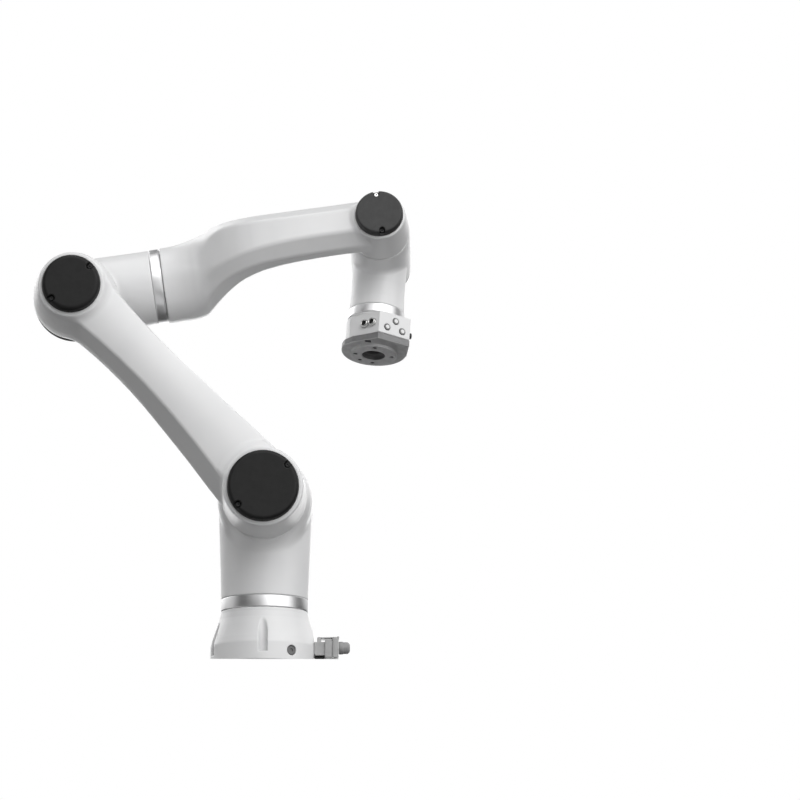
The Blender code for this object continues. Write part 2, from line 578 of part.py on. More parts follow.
def tool_fittings(axis_6):
    """Buttons, round connectors and the side port of the tool head."""
    for number, (along, height) in enumerate(BUTTONS, 1):
        offset, turns = face_place(BUTTON_FACE_TURN, CORNER, along, height)
        guide = axis_empty(f"button_axis_{number}", axis_6, offset, turns)
        profile = [(0, 1.7), (2.6, 1.7), (3.7, 1.3), (4.3, 0.6), (4.3, -5.0), (0, -5.0)]
        set_surface(turned(f"button_{number}", profile, SMALL, guide), "grey_plastic")
    for number, (along, height) in enumerate(SOCKETS, 1):
        offset, turns = face_place(SOCKET_FACE_TURN, CORNER, along, height)
        profile = [(0, 0.5), (3.9, 0.5), (3.9, 4.4), (4.8, 4.4), (5.3, 3.9), (5.3, -4.6), (0, -4.6)]
        set_surface(turned(f"tool_connector_{number}", profile, SMALL, axis_6, offset, turns), "satin_metal")
    offset, turns = face_place(SIDE_FACE_TURN, RIGHT_CORNER, 8.0, 128.5)
    profile = [(0, 3.4), (3.2, 3.4), (4.2, 2.4), (4.2, GAP), (0, GAP)]
    set_surface(turned("tool_side_lamp", profile, SMALL, axis_6, offset, turns), "black_plastic")


BUTTONS = ((12.9, 127.9), (25.4, 116.4), (36.3, 128.7))     # along the face, height on the tool axis
SOCKETS = ((-23.4, 122.0), (-10.9, 122.0))

clear_scene()
parts = make_collection("collaborative_robot_arm")
cutters = make_collection("cutters")
finishes = {
    "white_paint": make_material("white_paint", (0.83, 0.83, 0.83), 0.35),
    "satin_metal": make_material("satin_metal", (0.62, 0.62, 0.62), 0.28, 1.0),
    "black_plastic": make_material("black_plastic", (0.022, 0.022, 0.022), 0.55),
    "grey_plastic": make_material("grey_plastic", (0.2, 0.2, 0.21), 0.5),
    "rubber": make_material("rubber", (0.02, 0.02, 0.02), 0.8),
    "dark_metal": make_material("dark_metal", (0.12, 0.12, 0.125), 0.45, 0.8),
    "cast_steel": make_material("cast_steel", (0.4, 0.4, 0.42), 0.45, 1.0),
}

first = axis_empty("axis_1")
barrel_axis = axis_empty("shoulder_barrel_frame", first, (0, 0, SHOULDER_HEIGHT), (("X", 90),))
second = axis_empty("axis_2", first, (0, 0, SHOULDER_HEIGHT), (("X", 90), ("Z", LOWER_ARM_LEAN)))
third = axis_empty("axis_3", second, (0, LOWER_ARM_LENGTH, 0), (("Z", FOREARM_RISE - LOWER_ARM_LEAN),))
elbow_tube_axis = axis_empty("elbow_tube_frame", third, (0, FOREARM_OFFSET, 0), (("Y", 90),))
fourth = axis_empty("axis_4", third, (0, FOREARM_OFFSET, 0), (("X", -FOREARM_ROLL),))
fifth = axis_empty("axis_5", fourth, (FOREARM_LENGTH, 0, 0), (("Z", -WRIST_LEAN),))
sixth = axis_empty("axis_6", fifth, (0, 0, 0), (("X", 90),))

base_casting()
base_fittings()
connector()
connector_latch()
shoulder(first, barrel_axis)
lower_arm(second)
elbow(third, elbow_tube_axis)
forearm(fourth)
wrist(fifth, sixth)
tool_head(sixth)
tool_flange(sixth)
tool_fittings(sixth)
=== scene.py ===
"""Looks of a six-axis collaborative robot arm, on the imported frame.

Sizes are in millimetres in each piece's own frame and are turned into metres when a mesh
is made. The painted castings are solid fields (signed distances) with fillets, meshed on
a grid and then pulled onto the field's surface. Round parts are turned profiles.
"""
import math

import bmesh
import bpy
import numpy as np
from mathutils import Matrix, Vector


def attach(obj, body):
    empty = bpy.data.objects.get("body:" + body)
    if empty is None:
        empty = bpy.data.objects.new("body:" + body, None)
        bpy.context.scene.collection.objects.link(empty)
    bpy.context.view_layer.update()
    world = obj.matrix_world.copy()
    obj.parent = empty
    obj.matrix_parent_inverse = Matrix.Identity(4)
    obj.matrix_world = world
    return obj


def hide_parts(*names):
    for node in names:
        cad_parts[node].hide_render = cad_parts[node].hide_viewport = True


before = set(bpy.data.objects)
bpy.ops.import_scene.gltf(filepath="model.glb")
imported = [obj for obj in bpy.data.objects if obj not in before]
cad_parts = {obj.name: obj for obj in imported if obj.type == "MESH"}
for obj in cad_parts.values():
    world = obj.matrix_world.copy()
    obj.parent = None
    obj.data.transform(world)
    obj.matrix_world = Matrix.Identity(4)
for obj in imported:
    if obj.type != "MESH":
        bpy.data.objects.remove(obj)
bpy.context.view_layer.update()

MM = 0.001
GAP = 0.3                      # left between neighbouring pieces

# ---- driving dimensions, mm and degrees ----
SHOULDER_HEIGHT = 220.0
LOWER_ARM_LENGTH = 375.0
LOWER_ARM_LEAN = 43.5
FOREARM_RISE = 8.5
FOREARM_OFFSET = 19.0
FOREARM_LENGTH = 422.0
FOREARM_ROLL = 11.0
WRIST_LEAN = 12.1
FLANGE_REACH = 152.3           # tool face, from the fifth joint's axis
FLANGE_RADIUS = 72.5           # base flange
BASE_TOP = 72.6
CONNECTOR_FLAT = 67.0
RING_1_TOP = 89.0
SEAM_2 = 67.0                  # seams, from the middle of their joint's barrel or tube
SEAM_4 = 119.0
SEAM_5 = 71.2
SEAM_6 = 103.0
RING_4_LOW = 105.0             # metal rings behind the fourth and sixth seams
RING_6_TOP = 90.0
SHOULDER_REAR = 63.0           # flat backs of the three barrels
ELBOW_REAR = 51.6
WRIST_REAR = 39.0
COVER_SEAT_2 = 139.0           # feet of the joint covers
COVER_SEAT_3 = 146.0
COVER_SEAT_5 = 124.6
PLATE_LOW = 138.0              # tool plate, from the fifth joint's axis
PLATE_TOP = 148.0
FINE = 128                     # steps round a turned piece
CASTING_STEP = 1.5             # grid of the large castings
HEAD_STEP = 0.8                # grid of the tool head


# ---- frames ----
def turn(letter, degrees):
    """Rotation matrix about one axis."""
    return Matrix.Rotation(math.radians(degrees), 4, letter)


def shift(x, y, z):
    """Translation matrix in mm."""
    return Matrix.Translation((x * MM, y * MM, z * MM))


BASE = Matrix.Identity(4)
AXIS_2 = shift(0, 0, SHOULDER_HEIGHT) @ turn("X", 90) @ turn("Z", LOWER_ARM_LEAN)
AXIS_3 = AXIS_2 @ shift(0, LOWER_ARM_LENGTH, 0) @ turn("Z", FOREARM_RISE - LOWER_ARM_LEAN)
TUBE_4 = AXIS_3 @ shift(0, FOREARM_OFFSET, 0)
AXIS_4 = TUBE_4 @ turn("X", -FOREARM_ROLL)
AXIS_5 = AXIS_4 @ shift(FOREARM_LENGTH, 0, 0) @ turn("Z", -WRIST_LEAN)
AXIS_6 = AXIS_5 @ turn("X", 90)
BARREL_2 = shift(0, 0, SHOULDER_HEIGHT) @ turn("X", 90)


# ---- fields: each takes an array of points in mm and gives signed distances ----
def rounded_union(a, b, radius):
    """Union with a circular fillet."""
    u = np.maximum(radius - a, 0)
    v = np.maximum(radius - b, 0)
    return np.maximum(np.minimum(a, b), radius) - np.sqrt(u * u + v * v)


def fading(value, start, width, radius):
    """Fillet radius that grows from almost nothing to its full size over a stretch."""
    return radius * np.clip((value - start) / width, 0.03, 1.0)


def rounded_cut(a, b, radius):
    """What is in a and not in b, with a rounded edge."""
    u = np.maximum(radius + a, 0)
    v = np.maximum(radius - b, 0)
    return np.minimum(np.maximum(a, -b), -radius) + np.sqrt(u * u + v * v)


def rounded_meet(a, b, radius):
    """What is in both a and b, with a rounded edge."""
    return rounded_cut(a, -b, radius)


def to_frame(points, matrix):
    """Points in mm seen from another frame, given as a matrix with its offset in metres."""
    inverse = np.array(matrix.inverted())
    return points @ inverse[:3, :3].T + inverse[:3, 3] / MM


def outline_field(outline, across, up):
    """Signed distance in a plane to a closed outline of points."""
    nearest = np.full(across.shape, 1e12)
    inside = np.zeros(across.shape, bool)
    for start, end in zip(outline, outline[1:] + outline[:1]):
        run = end[0] - start[0]
        rise = end[1] - start[1]
        from_x = across - start[0]
        from_y = up - start[1]
        share = np.clip((from_x * run + from_y * rise) / (run * run + rise * rise), 0, 1)
        nearest = np.minimum(nearest, (from_x - run * share) ** 2 + (from_y - rise * share) ** 2)
        if rise:
            crossing = (start[1] > up) != (end[1] > up)
            inside ^= crossing & (across < start[0] + from_y * run / rise)
    return np.where(inside, -1.0, 1.0) * np.sqrt(nearest)


def turned_field(points, profile):
    """Body of revolution round Z; a profile point on the axis has radius 0."""
    closed = [(radius if radius else -60.0, height) for radius, height in profile]
    return outline_field(closed, np.hypot(points[:, 0], points[:, 1]), points[:, 2])


def rod_field(points, radius, x=0.0, y=0.0):
    """Endless round bar along Z."""
    return np.hypot(points[:, 0] - x, points[:, 1] - y) - radius


def box_field(points, low, high, edge=0.0):
    """Box between two corners with a rounded edge."""
    middle = (np.array(low) + np.array(high)) / 2
    half = (np.array(high) - np.array(low)) / 2 - edge
    away = np.abs(points - middle) - half
    outside = np.linalg.norm(np.maximum(away, 0), axis=1)
    return outside + np.minimum(away.max(axis=1), 0) - edge


def curve(along, knots):
    """Smooth curve through (place, value) knots, read at many places."""
    places = np.array([knot[0] for knot in knots], float)
    values = np.array([knot[1] for knot in knots], float)
    slopes = np.gradient(values, places)
    slopes[0] = slopes[-1] = 0.0
    along = np.clip(along, places[0], places[-1])
    index = np.clip(np.searchsorted(places, along) - 1, 0, len(places) - 2)
    width = places[index + 1] - places[index]
    t = (along - places[index]) / width
    start = (2 * t ** 3 - 3 * t ** 2 + 1) * values[index]
    leaving = (t ** 3 - 2 * t ** 2 + t) * width * slopes[index]
    end = (3 * t ** 2 - 2 * t ** 3) * values[index + 1]
    arriving = (t ** 3 - t ** 2) * width * slopes[index + 1]
    return start + leaving + end + arriving


# ---- meshing a field ----
BLOCK = 8                                   # grid points along a block's side
GRID_SHIFT = (0.1371, 0.1713, 0.1137)       # keeps flat faces off the grid planes


def block_places(counts):
    """Whole-number places of a box of blocks or points, one row each."""
    ranges = [np.arange(count) for count in counts]
    return np.stack(np.meshgrid(*ranges, indexing="ij"), -1).reshape(-1, 3)


def sample_field(field, low, step, blocks):
    """Values on a grid; blocks far from the surface take their centre's value."""
    size = blocks * BLOCK
    values = np.empty(size, np.float64)
    block = block_places(blocks)
    centre = field(low + (block * BLOCK + (BLOCK - 1) / 2) * step)
    view = values.reshape(blocks[0], BLOCK, blocks[1], BLOCK, blocks[2], BLOCK)
    view = view.transpose(0, 2, 4, 1, 3, 5)
    view[...] = centre.reshape(*blocks, 1, 1, 1)
    near = np.flatnonzero(np.abs(centre) < BLOCK * step * 1.9)
    local = block_places((BLOCK, BLOCK, BLOCK))
    for group in np.array_split(near, max(1, len(near) // 400)):
        points = low + (block[group][:, None, :] * BLOCK + local[None]).reshape(-1, 3) * step
        cells = field(points).reshape(-1, BLOCK, BLOCK, BLOCK)
        place = block[group]
        view[place[:, 0], place[:, 1], place[:, 2]] = cells
    return values


def surface_net(values):
    """Vertices on the grid and quads of the zero surface, facing out."""
    size = np.array(values.shape)
    inside = values < 0
    stride = np.array([size[1] * size[2], size[2], 1])
    total = int(size.prod())
    sums = np.zeros((3, total))
    counts = np.zeros(total)
    quads = []
    for axis in range(3):
        lower = [slice(None)] * 3
        upper = [slice(None)] * 3
        lower[axis] = slice(0, -1)
        upper[axis] = slice(1, None)
        start = values[tuple(lower)]
        end = values[tuple(upper)]
        place = np.argwhere(inside[tuple(lower)] != inside[tuple(upper)])
        first = start[tuple(place.T)]
        last = end[tuple(place.T)]
        point = place.astype(float)
        point[:, axis] += first / (first - last)
        u = (axis + 1) % 3
        v = (axis + 2) % 3
        flat = place @ stride
        around = [flat, flat - stride[u], flat - stride[u] - stride[v], flat - stride[v]]
        for cell in around:
            counts += np.bincount(cell, minlength=total)
            for part in range(3):
                sums[part] += np.bincount(cell, point[:, part], minlength=total)
        quad = np.stack(around, 1)
        quad[first > 0] = quad[first > 0][:, ::-1]
        quads.append(quad)
    used = np.flatnonzero(counts)
    number = np.zeros(total, int)
    number[used] = np.arange(len(used))
    return (sums[:, used] / counts[used]).T, number[np.concatenate(quads)]


def gradient(field, points, reach=0.04):
    """Slope of the field at each point."""
    slopes = [field(points + offset) - field(points - offset) for offset in np.eye(3) * reach]
    return np.stack(slopes, 1) / (2 * reach)


def field_mesh(name, field, low, high, step):
    """Closed smooth mesh of a field, its points moved onto the surface in three steps."""
    low = np.array(low, float) - 3 * step - GRID_SHIFT
    high = np.array(high, float) + 3 * step
    blocks = np.ceil((high - low) / (step * BLOCK)).astype(int)
    points, quads = surface_net(sample_field(field, low, step, blocks))
    points = low + points * step
    for _ in range(3):
        slope = gradient(field, points)
        steepness = np.maximum((slope ** 2).sum(1, keepdims=True), 0.05)
        move = field(points)[:, None] * slope / steepness
        length = np.linalg.norm(move, axis=1, keepdims=True)
        points = points - move * np.minimum(1, 0.5 * step / np.maximum(length, 1e-9))
    mesh = bpy.data.meshes.new(name)
    mesh.from_pydata(points * MM, [], quads.tolist())
    mesh.validate()
    mesh.shade_smooth()
    return mesh


# ---- turned meshes ----
def soften(profile, radius, steps=4):
    """Round the corners of an open profile by at most radius."""
    softened = [profile[0]]
    for before, corner, after in zip(profile, profile[1:], profile[2:]):
        corner = Vector(corner)
        back = Vector(before) - corner
        ahead = Vector(after) - corner
        reach = min(radius, back.length * 0.45, ahead.length * 0.45)
        start = corner + back.normalized() * reach
        end = corner + ahead.normalized() * reach
        for index in range(steps + 1):
            t = index / steps
            point = start * (1 - t) ** 2 + corner * 2 * t * (1 - t) + end * t ** 2
            softened.append(tuple(point))
    softened.append(profile[-1])
    return softened


def turned_mesh(name, profile, steps=FINE, closed=False, corner=0.5):
    """Turn a profile of (radius, height); the outer side runs downwards."""
    if corner:
        if closed:
            profile = soften(profile[-1:] + profile + profile[:1], corner)[1:-1]
        else:
            profile = soften(profile, corner)
    body = bmesh.new()
    rings = []
    for radius, height in profile:
        count = 1 if radius < 1e-6 else steps
        ring = []
        for index in range(count):
            angle = math.tau * index / steps
            place = (radius * math.cos(angle), radius * math.sin(angle), height)
            ring.append(body.verts.new(Vector(place) * MM))
        rings.append(ring)
    pairs = list(zip(rings, rings[1:]))
    if closed:
        pairs.append((rings[-1], rings[0]))
    for upper, lower in pairs:
        for index in range(steps):
            after = (index + 1) % steps
            corners = [upper[index % len(upper)], lower[index % len(lower)]]
            corners += [lower[after % len(lower)], upper[after % len(upper)]]
            corners = list(dict.fromkeys(corners))
            if len(corners) > 2:
                body.faces.new(corners)
    bmesh.ops.recalc_face_normals(body, faces=body.faces)
    mesh = bpy.data.meshes.new(name)
    body.to_mesh(mesh)
    body.free()
    mesh.shade_smooth()
    mesh.set_sharp_from_angle(angle=math.radians(40))
    return mesh


def ring_mesh(name, inner, outer, low, high, chamfer=0.7):
    """Ring between two heights with chamfered outer edges."""
    edge = outer - chamfer
    profile = [(inner, high), (edge, high), (outer, high - chamfer), (outer, low + chamfer), (edge, low),
               (inner, low)]
    return turned_mesh(name, profile, closed=True, corner=0.3)


# ---- pieces ----
def piece(name, mesh, matrix, body, slot, material, *replaced):
    """Place a mesh as a piece that rides on a body and stands for CAD nodes."""
    mesh.transform(matrix)
    item = bpy.data.objects.new(name, mesh)
    bpy.context.scene.collection.objects.link(item)
    mesh.materials.append(material)
    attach(item, body)
    if replaced:
        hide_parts(*replaced)
    return item


# ---- materials ----
def new_material(name, colour, roughness, metallic=0.0, coat=0.0):
    """Principled material and its tree, shader and object coordinates."""
    material = bpy.data.materials.new(name)
    material.use_nodes = True
    tree = material.node_tree
    shader = tree.nodes["Principled BSDF"]
    shader.inputs["Base Color"].default_value = (*colour, 1)
    shader.inputs["Roughness"].default_value = roughness
    shader.inputs["Metallic"].default_value = metallic
    shader.inputs["Coat Weight"].default_value = coat
    shader.inputs["Coat Roughness"].default_value = 0.25
    coordinates = tree.nodes.new("ShaderNodeTexCoord")
    return material, tree, shader, coordinates.outputs["Object"]


def noise(tree, source, scale, detail):
    """Noise texture read in object space; scale is in cycles per metre."""
    node = tree.nodes.new("ShaderNodeTexNoise")
    node.inputs["Scale"].default_value = scale
    node.inputs["Detail"].default_value = detail
    tree.links.new(source, node.inputs["Vector"])
    return node.outputs["Fac"]


def spread(tree, value, low, high, start=0.3, end=0.7):
    """Map a value from one range to another."""
    node = tree.nodes.new("ShaderNodeMapRange")
    node.inputs["From Min"].default_value = start
    node.inputs["From Max"].default_value = end
    node.inputs["To Min"].default_value = low
    node.inputs["To Max"].default_value = high
    tree.links.new(value, node.inputs["Value"])
    return node.outputs["Result"]


def blend_colour(tree, factor, first, second):
    """Mix two colours by a factor; each is a constant colour or another node's output."""
    node = tree.nodes.new("ShaderNodeMix")
    node.data_type = "RGBA"
    for socket, colour in ((node.inputs[6], first), (node.inputs[7], second)):
        if isinstance(colour, tuple):
            socket.default_value = (*colour, 1)
        else:
            tree.links.new(colour, socket)
    tree.links.new(factor, node.inputs[0])
    return node.outputs[2]


def multiply(tree, first, second):
    """Product of two values."""
    node = tree.nodes.new("ShaderNodeMath")
    node.operation = "MULTIPLY"
    tree.links.new(first, node.inputs[0])
    tree.links.new(second, node.inputs[1])
    return node.outputs[0]


def seen_from(tree, source, matrix):
    """Object coordinates seen from a piece's own frame."""
    node = tree.nodes.new("ShaderNodeMapping")
    node.vector_type = "TEXTURE"
    node.inputs["Location"].default_value = matrix.to_translation()
    node.inputs["Rotation"].default_value = matrix.to_euler()
    tree.links.new(source, node.inputs["Vector"])
    return node.outputs["Vector"]


def add_bump(tree, shader, height, distance, strength):
    """Bump the surface by a height value; distance is in metres."""
    node = tree.nodes.new("ShaderNodeBump")
    node.inputs["Distance"].default_value = distance
    node.inputs["Strength"].default_value = strength
    tree.links.new(height, node.inputs["Height"])
    tree.links.new(node.outputs["Normal"], shader.inputs["Normal"])


def paint_material():
    """Satin powder coat: slight orange peel, faint tone and gloss variation."""
    material, tree, shader, source = new_material("arm_paint", (0.74, 0.74, 0.745), 0.36, 0.0, 0.12)
    tone = spread(tree, noise(tree, source, 14.0, 3.0), 0.0, 1.0)
    colour = blend_colour(tree, tone, (0.72, 0.722, 0.728), (0.76, 0.76, 0.762))
    tree.links.new(colour, shader.inputs["Base Color"])
    gloss = spread(tree, noise(tree, source, 60.0, 4.0), 0.33, 0.40)
    tree.links.new(gloss, shader.inputs["Roughness"])
    add_bump(tree, shader, noise(tree, source, 700.0, 2.0), 0.00004, 0.35)
    return material


def plastic_material(name, colour, roughness, specular=0.5):
    """Moulded plastic with a fine spark-eroded grain."""
    material, tree, shader, source = new_material(name, colour, roughness)
    shader.inputs["Specular IOR Level"].default_value = specular
    lighter = tuple(min(1.0, part * 1.25 + 0.001) for part in colour)
    tone = spread(tree, noise(tree, source, 90.0, 4.0), 0.0, 1.0)
    tree.links.new(blend_colour(tree, tone, colour, lighter), shader.inputs["Base Color"])
    gloss = spread(tree, noise(tree, source, 250.0, 3.0), roughness - 0.05, roughness + 0.06)
    tree.links.new(gloss, shader.inputs["Roughness"])
    add_bump(tree, shader, noise(tree, source, 2200.0, 2.0), 0.00006, 0.5)
    return material


TURNING_PITCH = 0.0006         # metres


def turned_metal(name, colour, roughness, matrix=BASE, depth=0.00001):
    """Turned metal: fine lines round the Z axis of a frame, and soft streaks."""
    material, tree, shader, source = new_material(name, colour, roughness, 1.0)
    stretch = tree.nodes.new("ShaderNodeMapping")
    stretch.inputs["Scale"].default_value = (18.0, 18.0, 1.0 / TURNING_PITCH)
    tree.links.new(seen_from(tree, source, matrix), stretch.inputs["Vector"])
    lines = noise(tree, stretch.outputs["Vector"], 1.0, 3.0)
    gloss = spread(tree, lines, roughness - 0.05, roughness + 0.07)
    tree.links.new(gloss, shader.inputs["Roughness"])
    add_bump(tree, shader, lines, depth, 0.6)
    return material


def cast_metal(name, colour, roughness):
    """Blasted dark metal with a fine grain."""
    material, tree, shader, source = new_material(name, colour, roughness, 0.6)
    tone = spread(tree, noise(tree, source, 120.0, 4.0), 0.0, 1.0)
    darker = tuple(part * 0.82 for part in colour)
    tree.links.new(blend_colour(tree, tone, darker, colour), shader.inputs["Base Color"])
    gloss = spread(tree, noise(tree, source, 300.0, 3.0), roughness - 0.06, roughness + 0.08)
    tree.links.new(gloss, shader.inputs["Roughness"])
    add_bump(tree, shader, noise(tree, source, 1800.0, 3.0), 0.00004, 0.5)
    return material


PAINTED_LIGHT_ABOVE = 147.1         # tool face side of the plate, from the fifth joint's axis; above this the plate is painted lighter, as painted light that lifts the shade on that face
# below this height, inside DISC_INNER, the hole and recess walls get painted shade
HOLE_SHADE_BELOW = 151.3
DISC_INNER = 29.75             # holes lie inside this radius


def mm_step(tree, value, place, half_width, low=0.0, high=1.0):
    """Change from low to high where a value in metres passes a place given in mm."""
    return spread(tree, value, low, high, (place - half_width) * MM, (place + half_width) * MM)


def flange_metal():
    """Dark cast plate: tool face side painted lighter than the sides as painted light, and painted shade on
    the hole and recess walls.
    """
    material = cast_metal("flange_metal", (0.23, 0.23, 0.233), 0.46)
    tree = material.node_tree
    shader = tree.nodes["Principled BSDF"]
    shader.inputs["Metallic"].default_value = 0.3
    local = seen_from(tree, tree.nodes.new("ShaderNodeTexCoord").outputs["Object"], AXIS_6)
    split = tree.nodes.new("ShaderNodeSeparateXYZ")
    tree.links.new(local, split.inputs[0])
    height = split.outputs["Z"]
    flat = tree.nodes.new("ShaderNodeVectorMath")
    flat.operation = "MULTIPLY"
    flat.inputs[1].default_value = (1, 1, 0)
    tree.links.new(local, flat.inputs[0])
    radius = tree.nodes.new("ShaderNodeVectorMath")
    radius.operation = "LENGTH"
    tree.links.new(flat.outputs[0], radius.inputs[0])
    grain = spread(tree, noise(tree, local, 120.0, 4.0), 0.0, 1.0)
    # painted light: the tool face side gets this lighter colour than the sides to lift the shade it sits in
    painted_light_face = blend_colour(tree, grain, (0.46, 0.46, 0.465), (0.54, 0.54, 0.545))
    # painted shade: dark colour for the walls of the bolt holes and the recess
    hole_shade = blend_colour(tree, grain, (0.10, 0.10, 0.10), (0.14, 0.14, 0.14))
    sides = shader.inputs["Base Color"].links[0].from_socket
    # painted light: the lighter colour goes on everything above the tool face height
    colour = blend_colour(tree, mm_step(tree, height, PAINTED_LIGHT_ABOVE, 0.5), sides, painted_light_face)
    # painted shade mask: inside the hole radius and below the tool face
    inside = mm_step(tree, radius.outputs["Value"], DISC_INNER, 0.25, 1.0, 0.0)
    shade_depth = mm_step(tree, height, HOLE_SHADE_BELOW, 0.5, 1.0, 0.0)
    colour = blend_colour(tree, multiply(tree, inside, shade_depth), colour, hole_shade)
    tree.links.new(colour, shader.inputs["Base Color"])
    return material


def ring_metal(name, matrix):
    """Satin metal of the rings between two castings."""
    return turned_metal(name, (0.82, 0.82, 0.825), 0.36, matrix, 0.000002)


PAINT = paint_material()
BLACK = plastic_material("cover_black", (0.0085, 0.0085, 0.0085), 0.5, specular=0.25)
CHARCOAL = plastic_material("cover_charcoal", (0.032, 0.032, 0.032), 0.5, specular=0.35)
GREY = plastic_material("connector_grey", (0.34, 0.34, 0.34), 0.5)
PLUG_GREY = plastic_material("plug_grey", (0.13, 0.13, 0.13), 0.5)
PALE = plastic_material("button_pale", (0.7, 0.7, 0.7), 0.4)
RUBBER = plastic_material("seal_rubber", (0.02, 0.02, 0.02), 0.75)
BUTTON_GREY = plastic_material("button_grey", (0.17, 0.17, 0.17), 0.45)
BRIGHT = turned_metal("bright_metal", (0.75, 0.75, 0.74), 0.16)
DARK_METAL = cast_metal("base_plate_metal", (0.27, 0.27, 0.273), 0.46)
FLANGE_METAL = flange_metal()
SCREW_METAL = cast_metal("blackened_screw", (0.035, 0.035, 0.036), 0.5)
STEEL = turned_metal("drive_steel", (0.45, 0.45, 0.46), 0.38)


def make_casting(name, field, low, high, step, matrix, body, node):
    """White painted casting."""
    piece(name, field_mesh(name, field, low, high, step), matrix, body, "white_paint", PAINT, node)


# ---- base ----
BASE_PROFILE = [(0, BASE_TOP), (58.2, BASE_TOP), (58.9, 71.9), (59.4, 68), (61.4, 60), (64.5, 51),
                (67.6, 41.5), (70.3, 33), (72.1, 26.5), (FLANGE_RADIUS, 24.3), (FLANGE_RADIUS, 0.9),
                (FLANGE_RADIUS - 0.9, 0), (0, 0)]
POCKET_ANGLES = (-162, -90, 126, 54)
POCKET_REACH = 68.3
POCKET_RADIUS = 5.8
POCKET_FLOOR = 11.0
BOLT_RADIUS = 3.3
PORT = shift(0, 0, 13.5) @ turn("Z", -58) @ turn("Y", 90)
PORT_RADIUS = 7.0
PORT_FLOOR = 63.0
PORT_PLUG = [(0, 69.6), (2.6, 69.6), (2.6, 71.0), (5.2, 71.0), (6.0, 70.2), (6.7, 69.4), (6.7, 64), (0, 64)]


def slot_field(points, radius):
    """Upright slot with a round inner end at the origin, open towards +X."""
    return np.hypot(np.minimum(points[:, 0], 0), points[:, 1]) - radius


def base_field(points):
    """Foot of the arm with its bolt pockets, port and connector flat."""
    body = turned_field(points, BASE_PROFILE)
    body = rounded_cut(body, CONNECTOR_FLAT - points[:, 0], 1.0)
    for angle in POCKET_ANGLES:
        local = to_frame(points, turn("Z", angle) @ shift(POCKET_REACH, 0, 0))
        pocket = np.maximum(slot_field(local, POCKET_RADIUS), POCKET_FLOOR - local[:, 2])
        body = rounded_cut(body, pocket, 0.7)
        body = np.maximum(body, -rod_field(local, BOLT_RADIUS, x=-1.3))
    local = to_frame(points, PORT)
    port = np.maximum(rod_field(local, PORT_RADIUS), PORT_FLOOR - local[:, 2])
    body = rounded_cut(body, port, 0.4)
    bottom_cover = np.maximum(rod_field(points, 57.3), points[:, 2] - 3.3)
    return np.maximum(body, -bottom_cover)


def make_base():
    """Base casting, its ring and the side port plug."""
    make_casting("base_body", base_field, (-73, -73, 0), (68, 73, 73), 1.0, BASE, "base", "base_casting")
    ring = ring_mesh("base_ring", 50, 59.4, BASE_TOP + GAP, RING_1_TOP)
    piece("base_ring", ring, BASE, "base", "satin_metal", ring_metal("base_ring_metal", BASE), "j1_seal_ring")
    plug = turned_mesh("base_port_plug", PORT_PLUG, 64, corner=0.3)
    piece("base_port_plug", plug, PORT, "base", "black_plastic", PLUG_GREY, "side_port_plug")


# ---- shoulder ----
TUBE_PROFILE = [(0, 235), (63.0, 235), (63.0, 200), (61.6, 165), (60.2, 130), (59.3, 102), (59.0, 90.0),
                (58.4, RING_1_TOP + GAP), (0, RING_1_TOP + GAP)]
BARREL_PROFILE = [(0, SEAM_2 - GAP), (56.8, SEAM_2 - GAP), (57.6, 65.8), (58.9, 62), (61.5, 54), (63.6, 40),
                  (64, 22), (64, -40), (63, -56), (61.2, -61.5), (58.5, -SHOULDER_REAR), (0, -SHOULDER_REAR)]


def shoulder_field(points):
    """Upright tube and the barrel of the second joint."""
    tube = turned_field(points, TUBE_PROFILE)
    barrel = turned_field(to_frame(points, BARREL_2), BARREL_PROFILE)
    tube = rounded_meet(tube, points[:, 2] - 233, 6.0)
    body = rounded_union(tube, barrel, fading(np.abs(points[:, 1]), 12.0, 40.0, 16.0))
    ends = np.maximum(points[:, 1] - SHOULDER_REAR, -points[:, 1] - SEAM_2 + GAP)
    return rounded_meet(body, ends, 0.3)


def make_shoulder():
    """Shoulder casting."""
    make_casting("shoulder_body", shoulder_field, (-66, -68, 89), (66, 66, 286), CASTING_STEP,
                 BASE, "shoulder", "shoulder_housing")


# ---- lower arm ----
HALF_WIDTH = [(-60, 55), (0, 54), (55, 50.6), (107, 46), (160, 42.2), (215, 38.8), (262, 38.3), (311, 40.6),
              (355, 45), (420, 47)]
MIDDLE_SHIFT = [(-60, 0), (0, 0), (100, 2.0), (200, 3.2), (290, 2.2), (375, 0), (430, 0)]
FRONT_HEIGHT = [(-60, 134), (0, 134.5), (60, 135.5), (140, 137), (250, 139.5), (330, 141.5), (430, 142)]
FLAT_WIDTH = [(-60, 40), (0, 37), (70, 30), (140, 25), (215, 23), (290, 25.5), (340, 29), (430, 31)]
BOSS_2 = [(0, 140.6), (50.4, 140.6), (52.4, 139.6), (53.3, 137.4), (54.2, 118), (56.0, 88), (57.2, 76),
          (57.5, 69.5), (56.9, SEAM_2 + GAP), (0, SEAM_2 + GAP)]
BOSS_3 = [(0, 147.2), (42.4, 147.2), (44.0, 146.4), (45.0, 144.4), (47.8, 134), (51.6, 114), (55.5, 90),
          (56.8, 78), (57.1, 70.5), (56.6, SEAM_2 + GAP), (0, SEAM_2 + GAP)]
SKIRT_2 = [(0, 139.4), (52.6, 139.4), (62.6, 134.6), (63.5, 120), (0, 120)]


